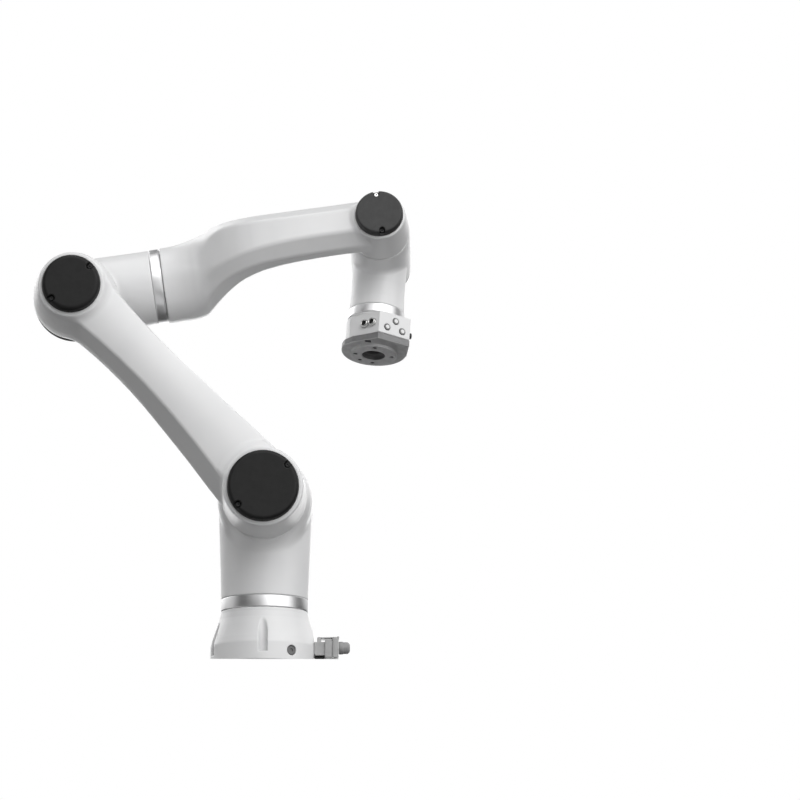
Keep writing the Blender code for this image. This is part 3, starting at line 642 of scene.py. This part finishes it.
def lower_arm_field(points):
    """Beam with a crowned front and faceted edges, and a boss at each end."""
    along = points[:, 1]
    width = curve(along, HALF_WIDTH)
    across = points[:, 0] - curve(along, MIDDLE_SHIFT)
    front = curve(along, FRONT_HEIGHT)
    flat = np.where(across > 0, width - 6.0, curve(along, FLAT_WIDTH))
    crown = front + 1.0 - 7.5 * (across / width) ** 2
    side = np.abs(across) - width
    drop = np.where(across > 0, 34.0, 58.0)
    facet = (np.abs(across) - flat) * drop + (points[:, 2] - front + 1.3) * (width - flat)
    facet = facet / np.hypot(drop, width - flat)
    beam = rounded_meet(points[:, 2] - crown, facet, 2.5)
    beam = rounded_meet(beam, side, 3.5)
    skirt = rounded_meet(turned_field(points, SKIRT_2), np.maximum(side, facet) + 1.0, 3.0)
    beam = rounded_union(beam, skirt, 3.0)
    beam = rounded_meet(beam, 74.0 - points[:, 2], 4.0)
    beam = rounded_meet(beam, np.maximum(-along - 10, along - LOWER_ARM_LENGTH - 12), 3.0)
    boss_2 = turned_field(points, BOSS_2)
    boss_3 = turned_field(points - (0, LOWER_ARM_LENGTH, 0), BOSS_3)
    beam = rounded_union(beam, boss_3, fading(LOWER_ARM_LENGTH - along, 5.0, 25.0, 9.0))
    return rounded_union(beam, boss_2, fading(along, 20.0, 30.0, 6.0))


COVER_SLOTS = {"j2": (-4, 176), "j3": (-2, 178), "j5": (90, 270)}


def cover_field(rim, face, height, slots, slot_radius):
    """Field of a round push-on cover whose rim has slots for the fixing screws."""
    slope = rim - face
    profile = [(0, height), (face - 1.2, height), (face, height - 0.35), (face + 0.45 * slope, height - 1.4),
               (face + 0.75 * slope, height - 3.6), (rim, height * 0.35), (rim, 0.8), (rim - 0.8, 0), (0, 0)]

    def field(points):
        body = turned_field(points, profile)
        for angle in slots:
            local = to_frame(points, turn("Z", angle) @ shift(rim - slot_radius - 1.6, 0, 0))
            seat = np.maximum(slot_field(local, slot_radius), height - 6.5 - local[:, 2])
            body = rounded_cut(body, seat, 0.5)
        return body
    return field


def make_cover(name, node, rim, face, height, matrix, body, slots=(), slot_radius=4.4, material=BLACK):
    """Plastic cover over a joint."""
    field = cover_field(rim, face, height, slots, slot_radius)
    mesh = field_mesh(name, field, (-rim, -rim, 0), (rim, rim, height), 0.9)
    piece(name, mesh, matrix, body, "black_plastic", material, node)


SCREW_PROFILE = [(0, 0.9), (1.4, 0.9), (1.4, 2.8), (2.4, 2.8), (2.9, 2.3), (2.9, 0), (0, 0)]


def make_screws(name, joint, seat, reach, height, body, slot, materials):
    """Socket-head screws in the slots of a joint's cover."""
    for number, angle in enumerate(COVER_SLOTS[joint], 1):
        matrix = seat @ turn("Z", angle) @ shift(reach, 0, height)
        mesh = turned_mesh(f"{name}_{number}", SCREW_PROFILE, 24, corner=0.15)
        material = materials[number - 1]
        piece(f"{name}_{number}", mesh, matrix, body, slot, material, f"{joint}_cover_screw_{number}")


def make_lower_arm():
    """Lower arm casting with its two covers and their screws."""
    make_casting("lower_arm_body", lower_arm_field, (-60, -60, 66), (62, 436, 149), CASTING_STEP,
                 AXIS_2, "lower_arm", "lower_arm_shell")
    seat_2 = AXIS_2 @ shift(0, 0, COVER_SEAT_2 + GAP)
    seat_3 = AXIS_2 @ shift(0, LOWER_ARM_LENGTH, COVER_SEAT_3 + GAP)
    make_cover("shoulder_joint_cover", "j2_cover", 47.7, 43.9, 14, seat_2, "lower_arm", COVER_SLOTS["j2"])
    make_cover("elbow_joint_cover", "j3_cover", 39.2, 34.8, 13, seat_3, "lower_arm", COVER_SLOTS["j3"])
    dark = (SCREW_METAL, SCREW_METAL)
    make_screws("shoulder_cover_screw", "j2", seat_2, 41.7, 7.6, "lower_arm", "dark_metal", dark)
    make_screws("elbow_cover_screw", "j3", seat_3, 33.2, 6.6, "lower_arm", "dark_metal", dark)


# ---- elbow ----
ELBOW_BACK_MIDDLE = 31.0       # middle of the flat round back, behind the barrel's middle
ELBOW_PROFILE = [(0, 57.2), (52.2, 57.2), (53.0, 56.2), (51.6, 42), (47, 18), (40, -6), (33, -28), (0, -28)]


def elbow_field(points):
    """Barrel of the third joint drawn into the tube of the fourth."""
    barrel = turned_field(points, ELBOW_PROFILE)
    height = points[:, 1] - FOREARM_OFFSET
    behind = np.minimum(points[:, 0], 0)
    round_tube = np.sqrt(height ** 2 + points[:, 2] ** 2 + behind ** 2) - 50.9
    tube = rounded_meet(round_tube, points[:, 0] - (RING_4_LOW - GAP), 0.8)
    back = rod_field(points, 36.0, y=FOREARM_OFFSET)
    depth = np.abs(points[:, 2] + ELBOW_BACK_MIDDLE)
    back = rounded_meet(back, depth - (ELBOW_REAR - ELBOW_BACK_MIDDLE), 1.2)
    return rounded_union(rounded_union(barrel, tube, 10.0), back, 3.0)


def make_elbow():
    """Elbow casting, the third joint's seal and the fourth joint's ring."""
    make_casting("elbow_body", elbow_field, (-55, -55, -53), (106, 72, 58), CASTING_STEP,
                 AXIS_3, "elbow", "elbow_housing")
    seal = ring_mesh("elbow_seal", 40, 57.3, 57.5, SEAM_2 - 0.1, 0.5)
    piece("elbow_seal", seal, AXIS_3, "elbow", "rubber", RUBBER, "j3_seal_ring")
    low = RING_4_LOW
    high = SEAM_4 - GAP
    profile = [(40, high), (50.0, high), (50.0, high - 1.0), (51.0, high - 1.0), (51.6, high - 1.7),
               (51.6, low + 0.8), (50.9, low), (40, low)]
    ring = turned_mesh("forearm_ring", profile, closed=True, corner=0.3)
    matrix = TUBE_4 @ turn("Y", 90)
    metal = ring_metal("forearm_ring_metal", matrix)
    piece("forearm_ring", ring, matrix, "elbow", "satin_metal", metal, "j4_seal_ring")


# ---- forearm ----
NECK_CENTRE = [(120, 0), (132, 0.3), (148, 2.5), (162, 7), (174, 14.5), (182, 25), (191, 41), (203, 59),
               (223, 78), (246, 90), (275, 97), (310, 100.5), (360, 101.5), (422, 101)]
NECK_HEIGHT = [(120, 52.2), (168, 52.2), (176, 50.6), (182, 47.5), (191, 45), (203, 42.5), (223, 39.5),
               (250, 37), (285, 35.4), (330, 34.6), (422, 34.4)]
NECK_DEPTH = [(120, 52.2), (156, 52.2), (168, 51), (180, 47.6), (191, 43), (203, 37), (223, 30.5), (250, 26),
              (285, 23.6), (330, 22.6), (422, 22.4)]
NECK_CORNER = [(120, 52.2), (150, 52.2), (168, 44), (186, 29), (206, 14), (240, 6), (422, 5)]
NECK_FLAT = [(120, 34), (165, 32), (180, 27), (209, 25), (236, 22), (265, 19.5), (300, 17.5), (340, 16.5),
             (422, 17)]
BOSS_5 = [(0, 125.0), (33.2, 125.0), (34.6, 124.2), (35.3, 122.6), (36.6, 112), (38.6, 96), (40.2, 82),
          (40.7, 75.5), (40.3, 72.4), (39.7, SEAM_5 + GAP), (0, SEAM_5 + GAP)]


def forearm_field(points):
    """Swan-necked forearm: round collar, slanting neck, faceted beam and end boss."""
    along = points[:, 0]
    height = curve(along, NECK_HEIGHT)
    depth = curve(along, NECK_DEPTH)
    up = np.abs(points[:, 1])
    out = points[:, 2] - curve(along, NECK_CENTRE)
    bevel = (up - curve(along, NECK_FLAT) + out - depth) * math.sqrt(0.5)
    rear_bevel = (up - height - out - depth + 14) * math.sqrt(0.5) - 3.5
    beam = rounded_meet(up - height, np.abs(out) - depth, curve(along, NECK_CORNER))
    beam = rounded_meet(beam, bevel, 2.4)
    beam = rounded_meet(beam, rear_bevel, 3.0)
    beam = rounded_meet(beam, np.maximum(SEAM_4 + 0.6 - along, along - FOREARM_LENGTH - 6), 0.8)
    boss = turned_field(points - (FOREARM_LENGTH, 0, 0), BOSS_5)
    return rounded_union(beam, boss, fading(FOREARM_LENGTH - along, 12.0, 20.0, 7.0))


def make_forearm():
    """Forearm casting with the fifth joint's cover and its screws."""
    make_casting("forearm_body", forearm_field, (118, -56, -56), (465, 56, 128), CASTING_STEP,
                 AXIS_4, "forearm", "forearm_shell")
    seat = AXIS_4 @ shift(FOREARM_LENGTH, 0, COVER_SEAT_5 + GAP)
    slots = COVER_SLOTS["j5"]
    make_cover("wrist_joint_cover", "j5_cover", 32.4, 30.4, 11, seat, "forearm", slots, 3.7, CHARCOAL)
    materials = (BRIGHT, SCREW_METAL)
    make_screws("wrist_cover_screw", "j5", seat, 27.1, 4.6, "forearm", "satin_metal", materials)


# ---- wrist ----
WRIST_BARREL = [(0, SEAM_5 - GAP), (38.0, SEAM_5 - GAP), (38.0, 69.2), (40.0, 68.7), (40.6, 66),
                (41.2, 52), (41.2, -36), (40.6, -WRIST_REAR), (0, -WRIST_REAR)]
WRIST_TUBE = [(0, RING_6_TOP - GAP), (37.4, RING_6_TOP - GAP), (38.0, 88.6), (37.2, 76), (36.6, 55),
              (37.2, 30), (38.2, 0), (0, 0)]


def wrist_field(points):
    """Barrel of the fifth joint with the tube of the sixth."""
    barrel = turned_field(points, WRIST_BARREL)
    tube = turned_field(to_frame(points, turn("X", 90)), WRIST_TUBE)
    return rounded_union(barrel, tube, fading(np.abs(points[:, 2]), 8.0, 25.0, 7.0))


def make_wrist():
    """Wrist casting and the tool joint's ring."""
    make_casting("wrist_body", wrist_field, (-43, -92, -41), (43, 43, 72), 1.2,
                 AXIS_5, "wrist", "wrist_housing")
    ring = ring_mesh("tool_ring", 28, 38.9, RING_6_TOP, SEAM_6 - GAP)
    metal = ring_metal("tool_ring_metal", AXIS_6)
    piece("tool_ring", ring, AXIS_6, "wrist", "satin_metal", metal, "j6_seal_ring")


def make_back_covers():
    """Round covers behind the shoulder, elbow and wrist."""
    for body, rim, face, height, matrix, rear in (
        ("shoulder", 47.7, 43.7, 12, BARREL_2, SHOULDER_REAR),
        ("elbow", 34.5, 31.5, 9, TUBE_4, ELBOW_REAR),
        ("wrist", 40.6, 38.0, 8, AXIS_5, WRIST_REAR),
    ):
        seat = matrix @ shift(0, 0, -rear - GAP) @ turn("X", 180)
        make_cover(f"{body}_rear_cover", f"{body}_back_cover", rim, face, height, seat, body)


# ---- tool head ----
CORNER = (6.8, 50.0)           # the block's two upright edges, in the tool frame
RIGHT_CORNER = (48.4, 26.0)
BUTTON_FACE_TURN = -30.0
SOCKET_FACE_TURN = 34.8
SIDE_FACE_TURN = -96.5
BUTTONS = ((12.9, 127.9), (25.4, 116.4), (36.3, 128.7))      # along the face from its corner, height
SOCKETS = ((-23.4, 122.0), (-10.9, 122.0))
SIDE_LAMP = (8.0, 128.5)


def arc(radius, start, end, steps):
    """Points on a circle round the origin."""
    angles = [math.radians(start + (end - start) * step / steps) for step in range(steps + 1)]
    return [(radius * math.cos(angle), radius * math.sin(angle)) for angle in angles]


def face_matrix(face_turn, corner, along, height):
    """Frame on one of the block's upright faces, local Z outwards, from the tool frame."""
    angle = math.radians(face_turn)
    place = shift(corner[0] + along * math.cos(angle), corner[1] + along * math.sin(angle), height)
    return place @ turn("Z", face_turn) @ turn("X", -90)


HEAD_TOP = 106.0
HEAD_PROFILE = [(0, 106.6), (36, 106.6), (38.8, 104.6), (38.0, SEAM_6), (0, SEAM_6)]
HEAD_OUTLINE = [CORNER] + arc(39.8, 149, 332, 40) + [(44.5, -8), RIGHT_CORNER]
HEAD_SEATS = (
    # face, places, radius, depth
    (BUTTON_FACE_TURN, BUTTONS, 4.9, 6.5),
    (SOCKET_FACE_TURN, SOCKETS, 5.6, 5.0),
)


def head_field(points):
    """Tool head: a round neck that grows into a block with two flat faces."""
    neck = turned_field(points, HEAD_PROFILE)
    outline = outline_field(HEAD_OUTLINE, points[:, 0], points[:, 1])
    level = np.maximum(HEAD_TOP - points[:, 2], points[:, 2] - PLATE_LOW)
    block = rounded_meet(outline, level, 1.0)
    body = rounded_union(neck, block, 1.5)
    for face_turn, places, radius, depth in HEAD_SEATS:
        for along, height in places:
            local = to_frame(points, face_matrix(face_turn, CORNER, along, height))
            seat = np.maximum(rod_field(local, radius), -depth - local[:, 2])
            body = rounded_cut(body, seat, 0.3)
    return body


PLATE_OUTLINE = [(6.8, 50.4), (-29.0, 31.5)] + arc(44.4, 152, 344, 48) + [(44.7, -8), (48.7, 26.2)]
DISC_PROFILE = [(0, FLANGE_REACH), (30.9, FLANGE_REACH), (31.5, FLANGE_REACH - 0.6), (31.5, 145), (0, 145)]
RECESS_PROFILE = [(0, 170), (15.75, 170), (15.75, FLANGE_REACH - 6), (10.5, FLANGE_REACH - 6.5),
                  (10.5, 140), (0, 140)]
BOLT_CIRCLE = 25.0
FLANGE_HOLES = [(85 + 90 * number, 3.1, 9, 0.4) for number in range(4)]      # angle, radius, depth, edge
FLANGE_HOLES.append((220, 3.0, 6, 0.3))


def flange_field(points):
    """Dark plate and the round tool interface with its bolt holes, dowel hole and notch."""
    outline = outline_field(PLATE_OUTLINE, points[:, 0], points[:, 1])
    level = np.maximum(PLATE_LOW + GAP - points[:, 2], points[:, 2] - PLATE_TOP)
    plate = rounded_meet(outline, level, 1.6)
    body = rounded_union(plate, turned_field(points, DISC_PROFILE), 0.8)
    body = rounded_cut(body, turned_field(points, RECESS_PROFILE), 0.5)
    for degrees, radius, depth, edge in FLANGE_HOLES:
        angle = math.radians(degrees)
        hole = rod_field(points, radius, BOLT_CIRCLE * math.cos(angle), BOLT_CIRCLE * math.sin(angle))
        body = rounded_cut(body, np.maximum(hole, FLANGE_REACH - depth - points[:, 2]), edge)
    notch = box_field(points, (-11, 32.2, 141), (-3, 40, 150))
    return rounded_cut(body, notch, 0.5)


BUTTON_PROFILE = [(0, 1.5), (2.5, 1.5), (2.9, 1.0), (3.9, 1.0), (4.3, 0.5), (4.3, -5.0), (0, -5.0)]
SOCKET_PROFILE = [(0, -2.6), (3.7, -2.6), (3.7, 3.9), (4.2, 4.4), (4.9, 4.4), (5.3, 3.9), (5.3, 1.6),
                  (4.9, 1.3), (4.9, 0.8), (5.3, 0.5), (5.3, -4.6), (0, -4.6)]
LAMP_PROFILE = [(0, 3.4), (2.4, 3.4), (3.4, 3.0), (4.2, 2.2), (4.2, GAP), (0, GAP)]
CONTACTS = 5


def make_buttons():
    """Three push buttons with a pale centre."""
    for number, (along, height) in enumerate(BUTTONS, 1):
        name = f"push_button_{number}"
        node = f"button_{number}"
        matrix = AXIS_6 @ face_matrix(BUTTON_FACE_TURN, CORNER, along, height)
        cap = turned_mesh(name, BUTTON_PROFILE, 48, corner=0.25)
        item = piece(name, cap, matrix, node, "grey_plastic", BUTTON_GREY, node)
        item.data.materials.append(PALE)
        inverse = matrix.inverted()
        for face in item.data.polygons:
            place = inverse @ face.center / MM
            if place.z > 1.05 and math.hypot(place.x, place.y) < 2.8:
                face.material_index = 1


def core_mesh(name):
    """Insert of a round connector with its ring of contacts."""
    body = bmesh.new()
    bmesh.ops.create_cone(body, cap_ends=True, segments=32, radius1=3.5 * MM, radius2=3.4 * MM,
                          depth=3.4 * MM, matrix=shift(0, 0, -0.9))
    for number in range(CONTACTS):
        angle = math.tau * number / CONTACTS
        place = shift(1.9 * math.cos(angle), 1.9 * math.sin(angle), 1.4)
        bmesh.ops.create_cone(body, cap_ends=True, segments=12, radius1=0.45 * MM, radius2=0.3 * MM,
                              depth=3 * MM, matrix=place)
    mesh = bpy.data.meshes.new(name)
    body.to_mesh(mesh)
    body.free()
    return mesh


def make_sockets():
    """Two round metal connectors with black cores."""
    for number, (along, height) in enumerate(SOCKETS, 1):
        name = f"head_connector_{number}"
        matrix = AXIS_6 @ face_matrix(SOCKET_FACE_TURN, CORNER, along, height)
        socket = turned_mesh(name, SOCKET_PROFILE, 48, corner=0.2)
        piece(name, socket, matrix, "tool_head", "satin_metal", BRIGHT, f"tool_connector_{number}")
        name = f"head_connector_core_{number}"
        piece(name, core_mesh(name), matrix, "tool_head", "black_plastic", CHARCOAL)


def make_tool_head():
    """Tool head casting, tool plate, buttons, connectors and side lamp."""
    make_casting("tool_head_casting", head_field, (-42, -42, 102), (50, 52, 139), HEAD_STEP,
                 AXIS_6, "tool_head", "tool_head_body")
    mesh = field_mesh("tool_plate", flange_field, (-46, -46, 137), (50, 52, 153), HEAD_STEP)
    piece("tool_plate", mesh, AXIS_6, "tool_head", "dark_metal", FLANGE_METAL, "tool_flange")
    make_buttons()
    make_sockets()
    matrix = AXIS_6 @ face_matrix(SIDE_FACE_TURN, RIGHT_CORNER, *SIDE_LAMP)
    lamp = turned_mesh("head_side_lamp", LAMP_PROFILE, 48)
    piece("head_side_lamp", lamp, matrix, "tool_head", "black_plastic", CHARCOAL, "tool_side_lamp")


# ---- connector ----
FLAT = CONNECTOR_FLAT + GAP
SHELL_BOXES = (
    ((FLAT, -17, 12.6), (84, 17, 31)),
    ((82, -20, 9.8), (91, 20, 34.8)),
    ((FLAT, -19.5, 13.6), (69.4, 19.5, 30)),
    ((71.5, -15.6, 29), (76.5, -13.4, 37.6)),
    ((71.5, 13.4, 29), (76.5, 15.6, 37.6)),
)
HOOD_BOXES = (((92.4, -20.5, 9.5), (98.9, 20.5, 36.2)), ((97.6, -18, 11.5), (100.2, 18, 34)))
RAIL_BOXES = (((68, -14, 8.4), (81.5, 14, 11.2)), ((69, -12.6, 10.2), (80.5, 12.6, 12.3)))
SEAL_BOXES = (((91.0 + GAP, -19, 10.8), (92.4 - GAP, 19, 33.6)),)
CONNECTOR_PIECES = (
    # name, CAD node, slot, material, boxes, edge, fillet, mesh limits, grid step
    ("connector_shell", "connector_socket", "grey_plastic", GREY, SHELL_BOXES, 0.8, 0.5,
     (67, -21, 9), (92, 21, 38), 0.6),
    ("connector_plug_hood", "connector_hood", "grey_plastic", GREY, HOOD_BOXES, 1.1, 0.6,
     (92, -21, 9), (101, 21, 37), 0.6),
    ("connector_rail", "connector_lower_rail", "black_plastic", BLACK, RAIL_BOXES, 0.7, 0.5,
     (67, -15, 8), (82, 15, 13), 0.6),
    ("connector_seal", "connector_gasket", "rubber", RUBBER, SEAL_BOXES, 0.3, 0.3,
     (91, -19, 10), (93, 19, 34), 0.4),
)
GLAND_PROFILE = [(0, 112.5), (3.6, 112.5), (3.6, 115.5), (4.4, 115.5), (6.6, 114.2), (7.9, 112.5),
                 (7.9, 106.5), (8.6, 106.0), (8.6, 101.2), (8.0, 100.5), (0, 100.5)]
LATCH = shift(74, 0, 37.1) @ turn("Y", -1.5)


def boxes_field(boxes, edge, fillet):
    """Field of rounded boxes, with a small fillet where they meet."""
    def field(points):
        body = box_field(points, *boxes[0], edge)
        for low, high in boxes[1:]:
            body = rounded_union(body, box_field(points, low, high, edge), fillet)
        return body
    return field


def lever_field(points):
    """Flat latch lever with a lip, round its hinge pin along Y."""
    body = box_field(points, (-2, -12, -0.9), (27, 12, 0.9), 0.45)
    lip = box_field(points, (24.6, -12, -0.6), (27, 12, 1.7), 0.5)
    body = rounded_union(body, lip, 0.6)
    pin = np.maximum(np.hypot(points[:, 0], points[:, 2] + 0.2) - 1.6, np.abs(points[:, 1]) - 13)
    return rounded_union(body, pin, 0.4)


def make_connector():
    """Rectangular connector with its gland and latch."""
    for name, node, slot, material, boxes, edge, fillet, low, high, step in CONNECTOR_PIECES:
        mesh = field_mesh(name, boxes_field(boxes, edge, fillet), low, high, step)
        piece(name, mesh, BASE, "base", slot, material, node)
    gland = turned_mesh("connector_gland", GLAND_PROFILE, 72, corner=0.4)
    matrix = shift(0, 0, 25) @ turn("Y", 90)
    material = plastic_material("gland_grey", (0.24, 0.24, 0.24), 0.5)
    piece("connector_gland", gland, matrix, "base", "black_plastic", material, "cable_gland")
    mesh = field_mesh("connector_latch_lever", lever_field, (-3, -13, -2.5), (28, 13, 4), 0.5)
    material = cast_metal("latch_metal", (0.42, 0.42, 0.42), 0.35)
    piece("connector_latch_lever", mesh, LATCH, "connector_latch", "dark_metal", material, "connector_lever")


CAD_MATERIALS = (
    # part of a CAD node's name, material
    ("base_bottom_cover", DARK_METAL),
    ("gear_unit", STEEL),
    ("motor", STEEL),
    ("brake", DARK_METAL),
)


def finish_cad_nodes():
    """Give the CAD nodes that stay their procedural materials."""
    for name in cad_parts:
        item = bpy.data.objects.get(name)
        if item is None or item.hide_render:
            continue
        for word, material in CAD_MATERIALS:
            if word in name:
                item.data.materials.clear()
                item.data.materials.append(material)
                break


# ---- light, floor and camera ----
def heading(azimuth, elevation):
    """Direction from the object; azimuth 0 is the camera's side, positive to its right."""
    aside = math.radians(azimuth)
    level = math.cos(math.radians(elevation))
    return (math.sin(aside) * level, -math.cos(aside) * level, math.sin(math.radians(elevation)))


SOFT_BOXES = (
    # azimuth, elevation, strength
    (20, 35, 2.7),
    (20, -5, 1.2),
    (60, 35, 1.45),
    (60, -5, 1.4),
    (-20, 35, 1.05),
    (-20, -45, 0.31),
    (-100, 20, 0.7),
    (-100, -30, 1.0),
    (-140, 30, 2.51),
    (140, 30, 1.34),
    (180, 0, 2.70),
    (0, 80, 1.93),
)
EVEN_PART = 8.0                # degrees from a box's middle where its light starts to fade
SOFT_EDGE = 30.0               # degrees where it has faded out
AMBIENT = 0.055


def background(tree, strength):
    """White background shader."""
    node = tree.nodes.new("ShaderNodeBackground")
    node.inputs["Color"].default_value = (1, 1, 1, 1)
    node.inputs["Strength"].default_value = strength
    return node


def make_world():
    """Soft boxes as smooth patches of light round the object; the background stays white."""
    world = bpy.data.worlds.new("studio")
    bpy.context.scene.world = world
    world.use_nodes = True
    tree = world.node_tree
    tree.nodes.clear()
    source = tree.nodes.new("ShaderNodeTexCoord").outputs["Generated"]
    total = None
    for azimuth, elevation, strength in SOFT_BOXES:
        dot = tree.nodes.new("ShaderNodeVectorMath")
        dot.operation = "DOT_PRODUCT"
        dot.inputs[1].default_value = heading(azimuth, elevation)
        tree.links.new(source, dot.inputs[0])
        lobe = tree.nodes.new("ShaderNodeMapRange")
        lobe.interpolation_type = "SMOOTHSTEP"
        lobe.inputs["From Min"].default_value = math.cos(math.radians(SOFT_EDGE))
        lobe.inputs["From Max"].default_value = math.cos(math.radians(EVEN_PART))
        lobe.inputs["To Max"].default_value = strength
        tree.links.new(dot.outputs["Value"], lobe.inputs["Value"])
        add = tree.nodes.new("ShaderNodeMath")
        add.operation = "ADD"
        tree.links.new(lobe.outputs["Result"], add.inputs[0])
        add.inputs[1].default_value = AMBIENT
        if total is not None:
            tree.links.new(total, add.inputs[1])
        total = add.outputs["Value"]
    light = background(tree, 1.0)
    tree.links.new(total, light.inputs["Strength"])
    white = background(tree, 1.0)
    seen = tree.nodes.new("ShaderNodeLightPath").outputs["Is Camera Ray"]
    mix = tree.nodes.new("ShaderNodeMixShader")
    for number, value in enumerate((seen, light.outputs[0], white.outputs[0])):
        tree.links.new(value, mix.inputs[number])
    out = tree.nodes.new("ShaderNodeOutputWorld")
    tree.links.new(mix.outputs[0], out.inputs["Surface"])


FLOOR_WIDTH = 6.0              # metres
FLOOR_BACK = 3.0
FLOOR_DEPTH = 2.0


def make_floor():
    """White block that the base stands on; its front edge is level with the base's front."""
    material = bpy.data.materials.new("floor_white")
    material.use_nodes = True
    shader = material.node_tree.nodes["Principled BSDF"]
    shader.inputs["Base Color"].default_value = (0, 0, 0, 1)
    shader.inputs["Specular IOR Level"].default_value = 0.0
    shader.inputs["Emission Color"].default_value = (1, 1, 1, 1)
    shader.inputs["Emission Strength"].default_value = 1.0
    mesh = bpy.data.meshes.new("floor")
    body = bmesh.new()
    bmesh.ops.create_cube(body, size=1.0)
    for vertex in body.verts:
        vertex.co.x *= FLOOR_WIDTH
        vertex.co.y = -FLANGE_RADIUS * MM if vertex.co.y < 0 else FLOOR_BACK
        vertex.co.z = 0.0 if vertex.co.z > 0 else -FLOOR_DEPTH
    body.to_mesh(mesh)
    body.free()
    mesh.materials.append(material)
    floor = bpy.data.objects.new("floor", mesh)
    bpy.context.scene.collection.objects.link(floor)
    floor.visible_diffuse = False
    floor.visible_glossy = False
    floor.visible_shadow = False


CAMERA_LENS = 141.086
CAMERA_PLACE = (0.10836, -4.2, -0.57465)
CAMERA_TILT = 0.2208264        # radians above level
CAMERA_TURN = -0.0178040


def make_camera():
    """Camera below the arm, looking up at it."""
    data = bpy.data.cameras.new("camera")
    data.lens = CAMERA_LENS
    data.sensor_width = 36.0
    data.clip_end = 50.0
    camera = bpy.data.objects.new("camera", data)
    bpy.context.scene.collection.objects.link(camera)
    camera.location = CAMERA_PLACE
    camera.rotation_euler = (math.radians(90) + CAMERA_TILT, 0.0, CAMERA_TURN)
    bpy.context.scene.camera = camera


make_base()
make_shoulder()
make_lower_arm()
make_elbow()
make_forearm()
make_wrist()
make_back_covers()
make_tool_head()
make_connector()
finish_cad_nodes()
make_world()
make_floor()
make_camera()
bpy.context.scene.view_settings.view_transform = "Standard"
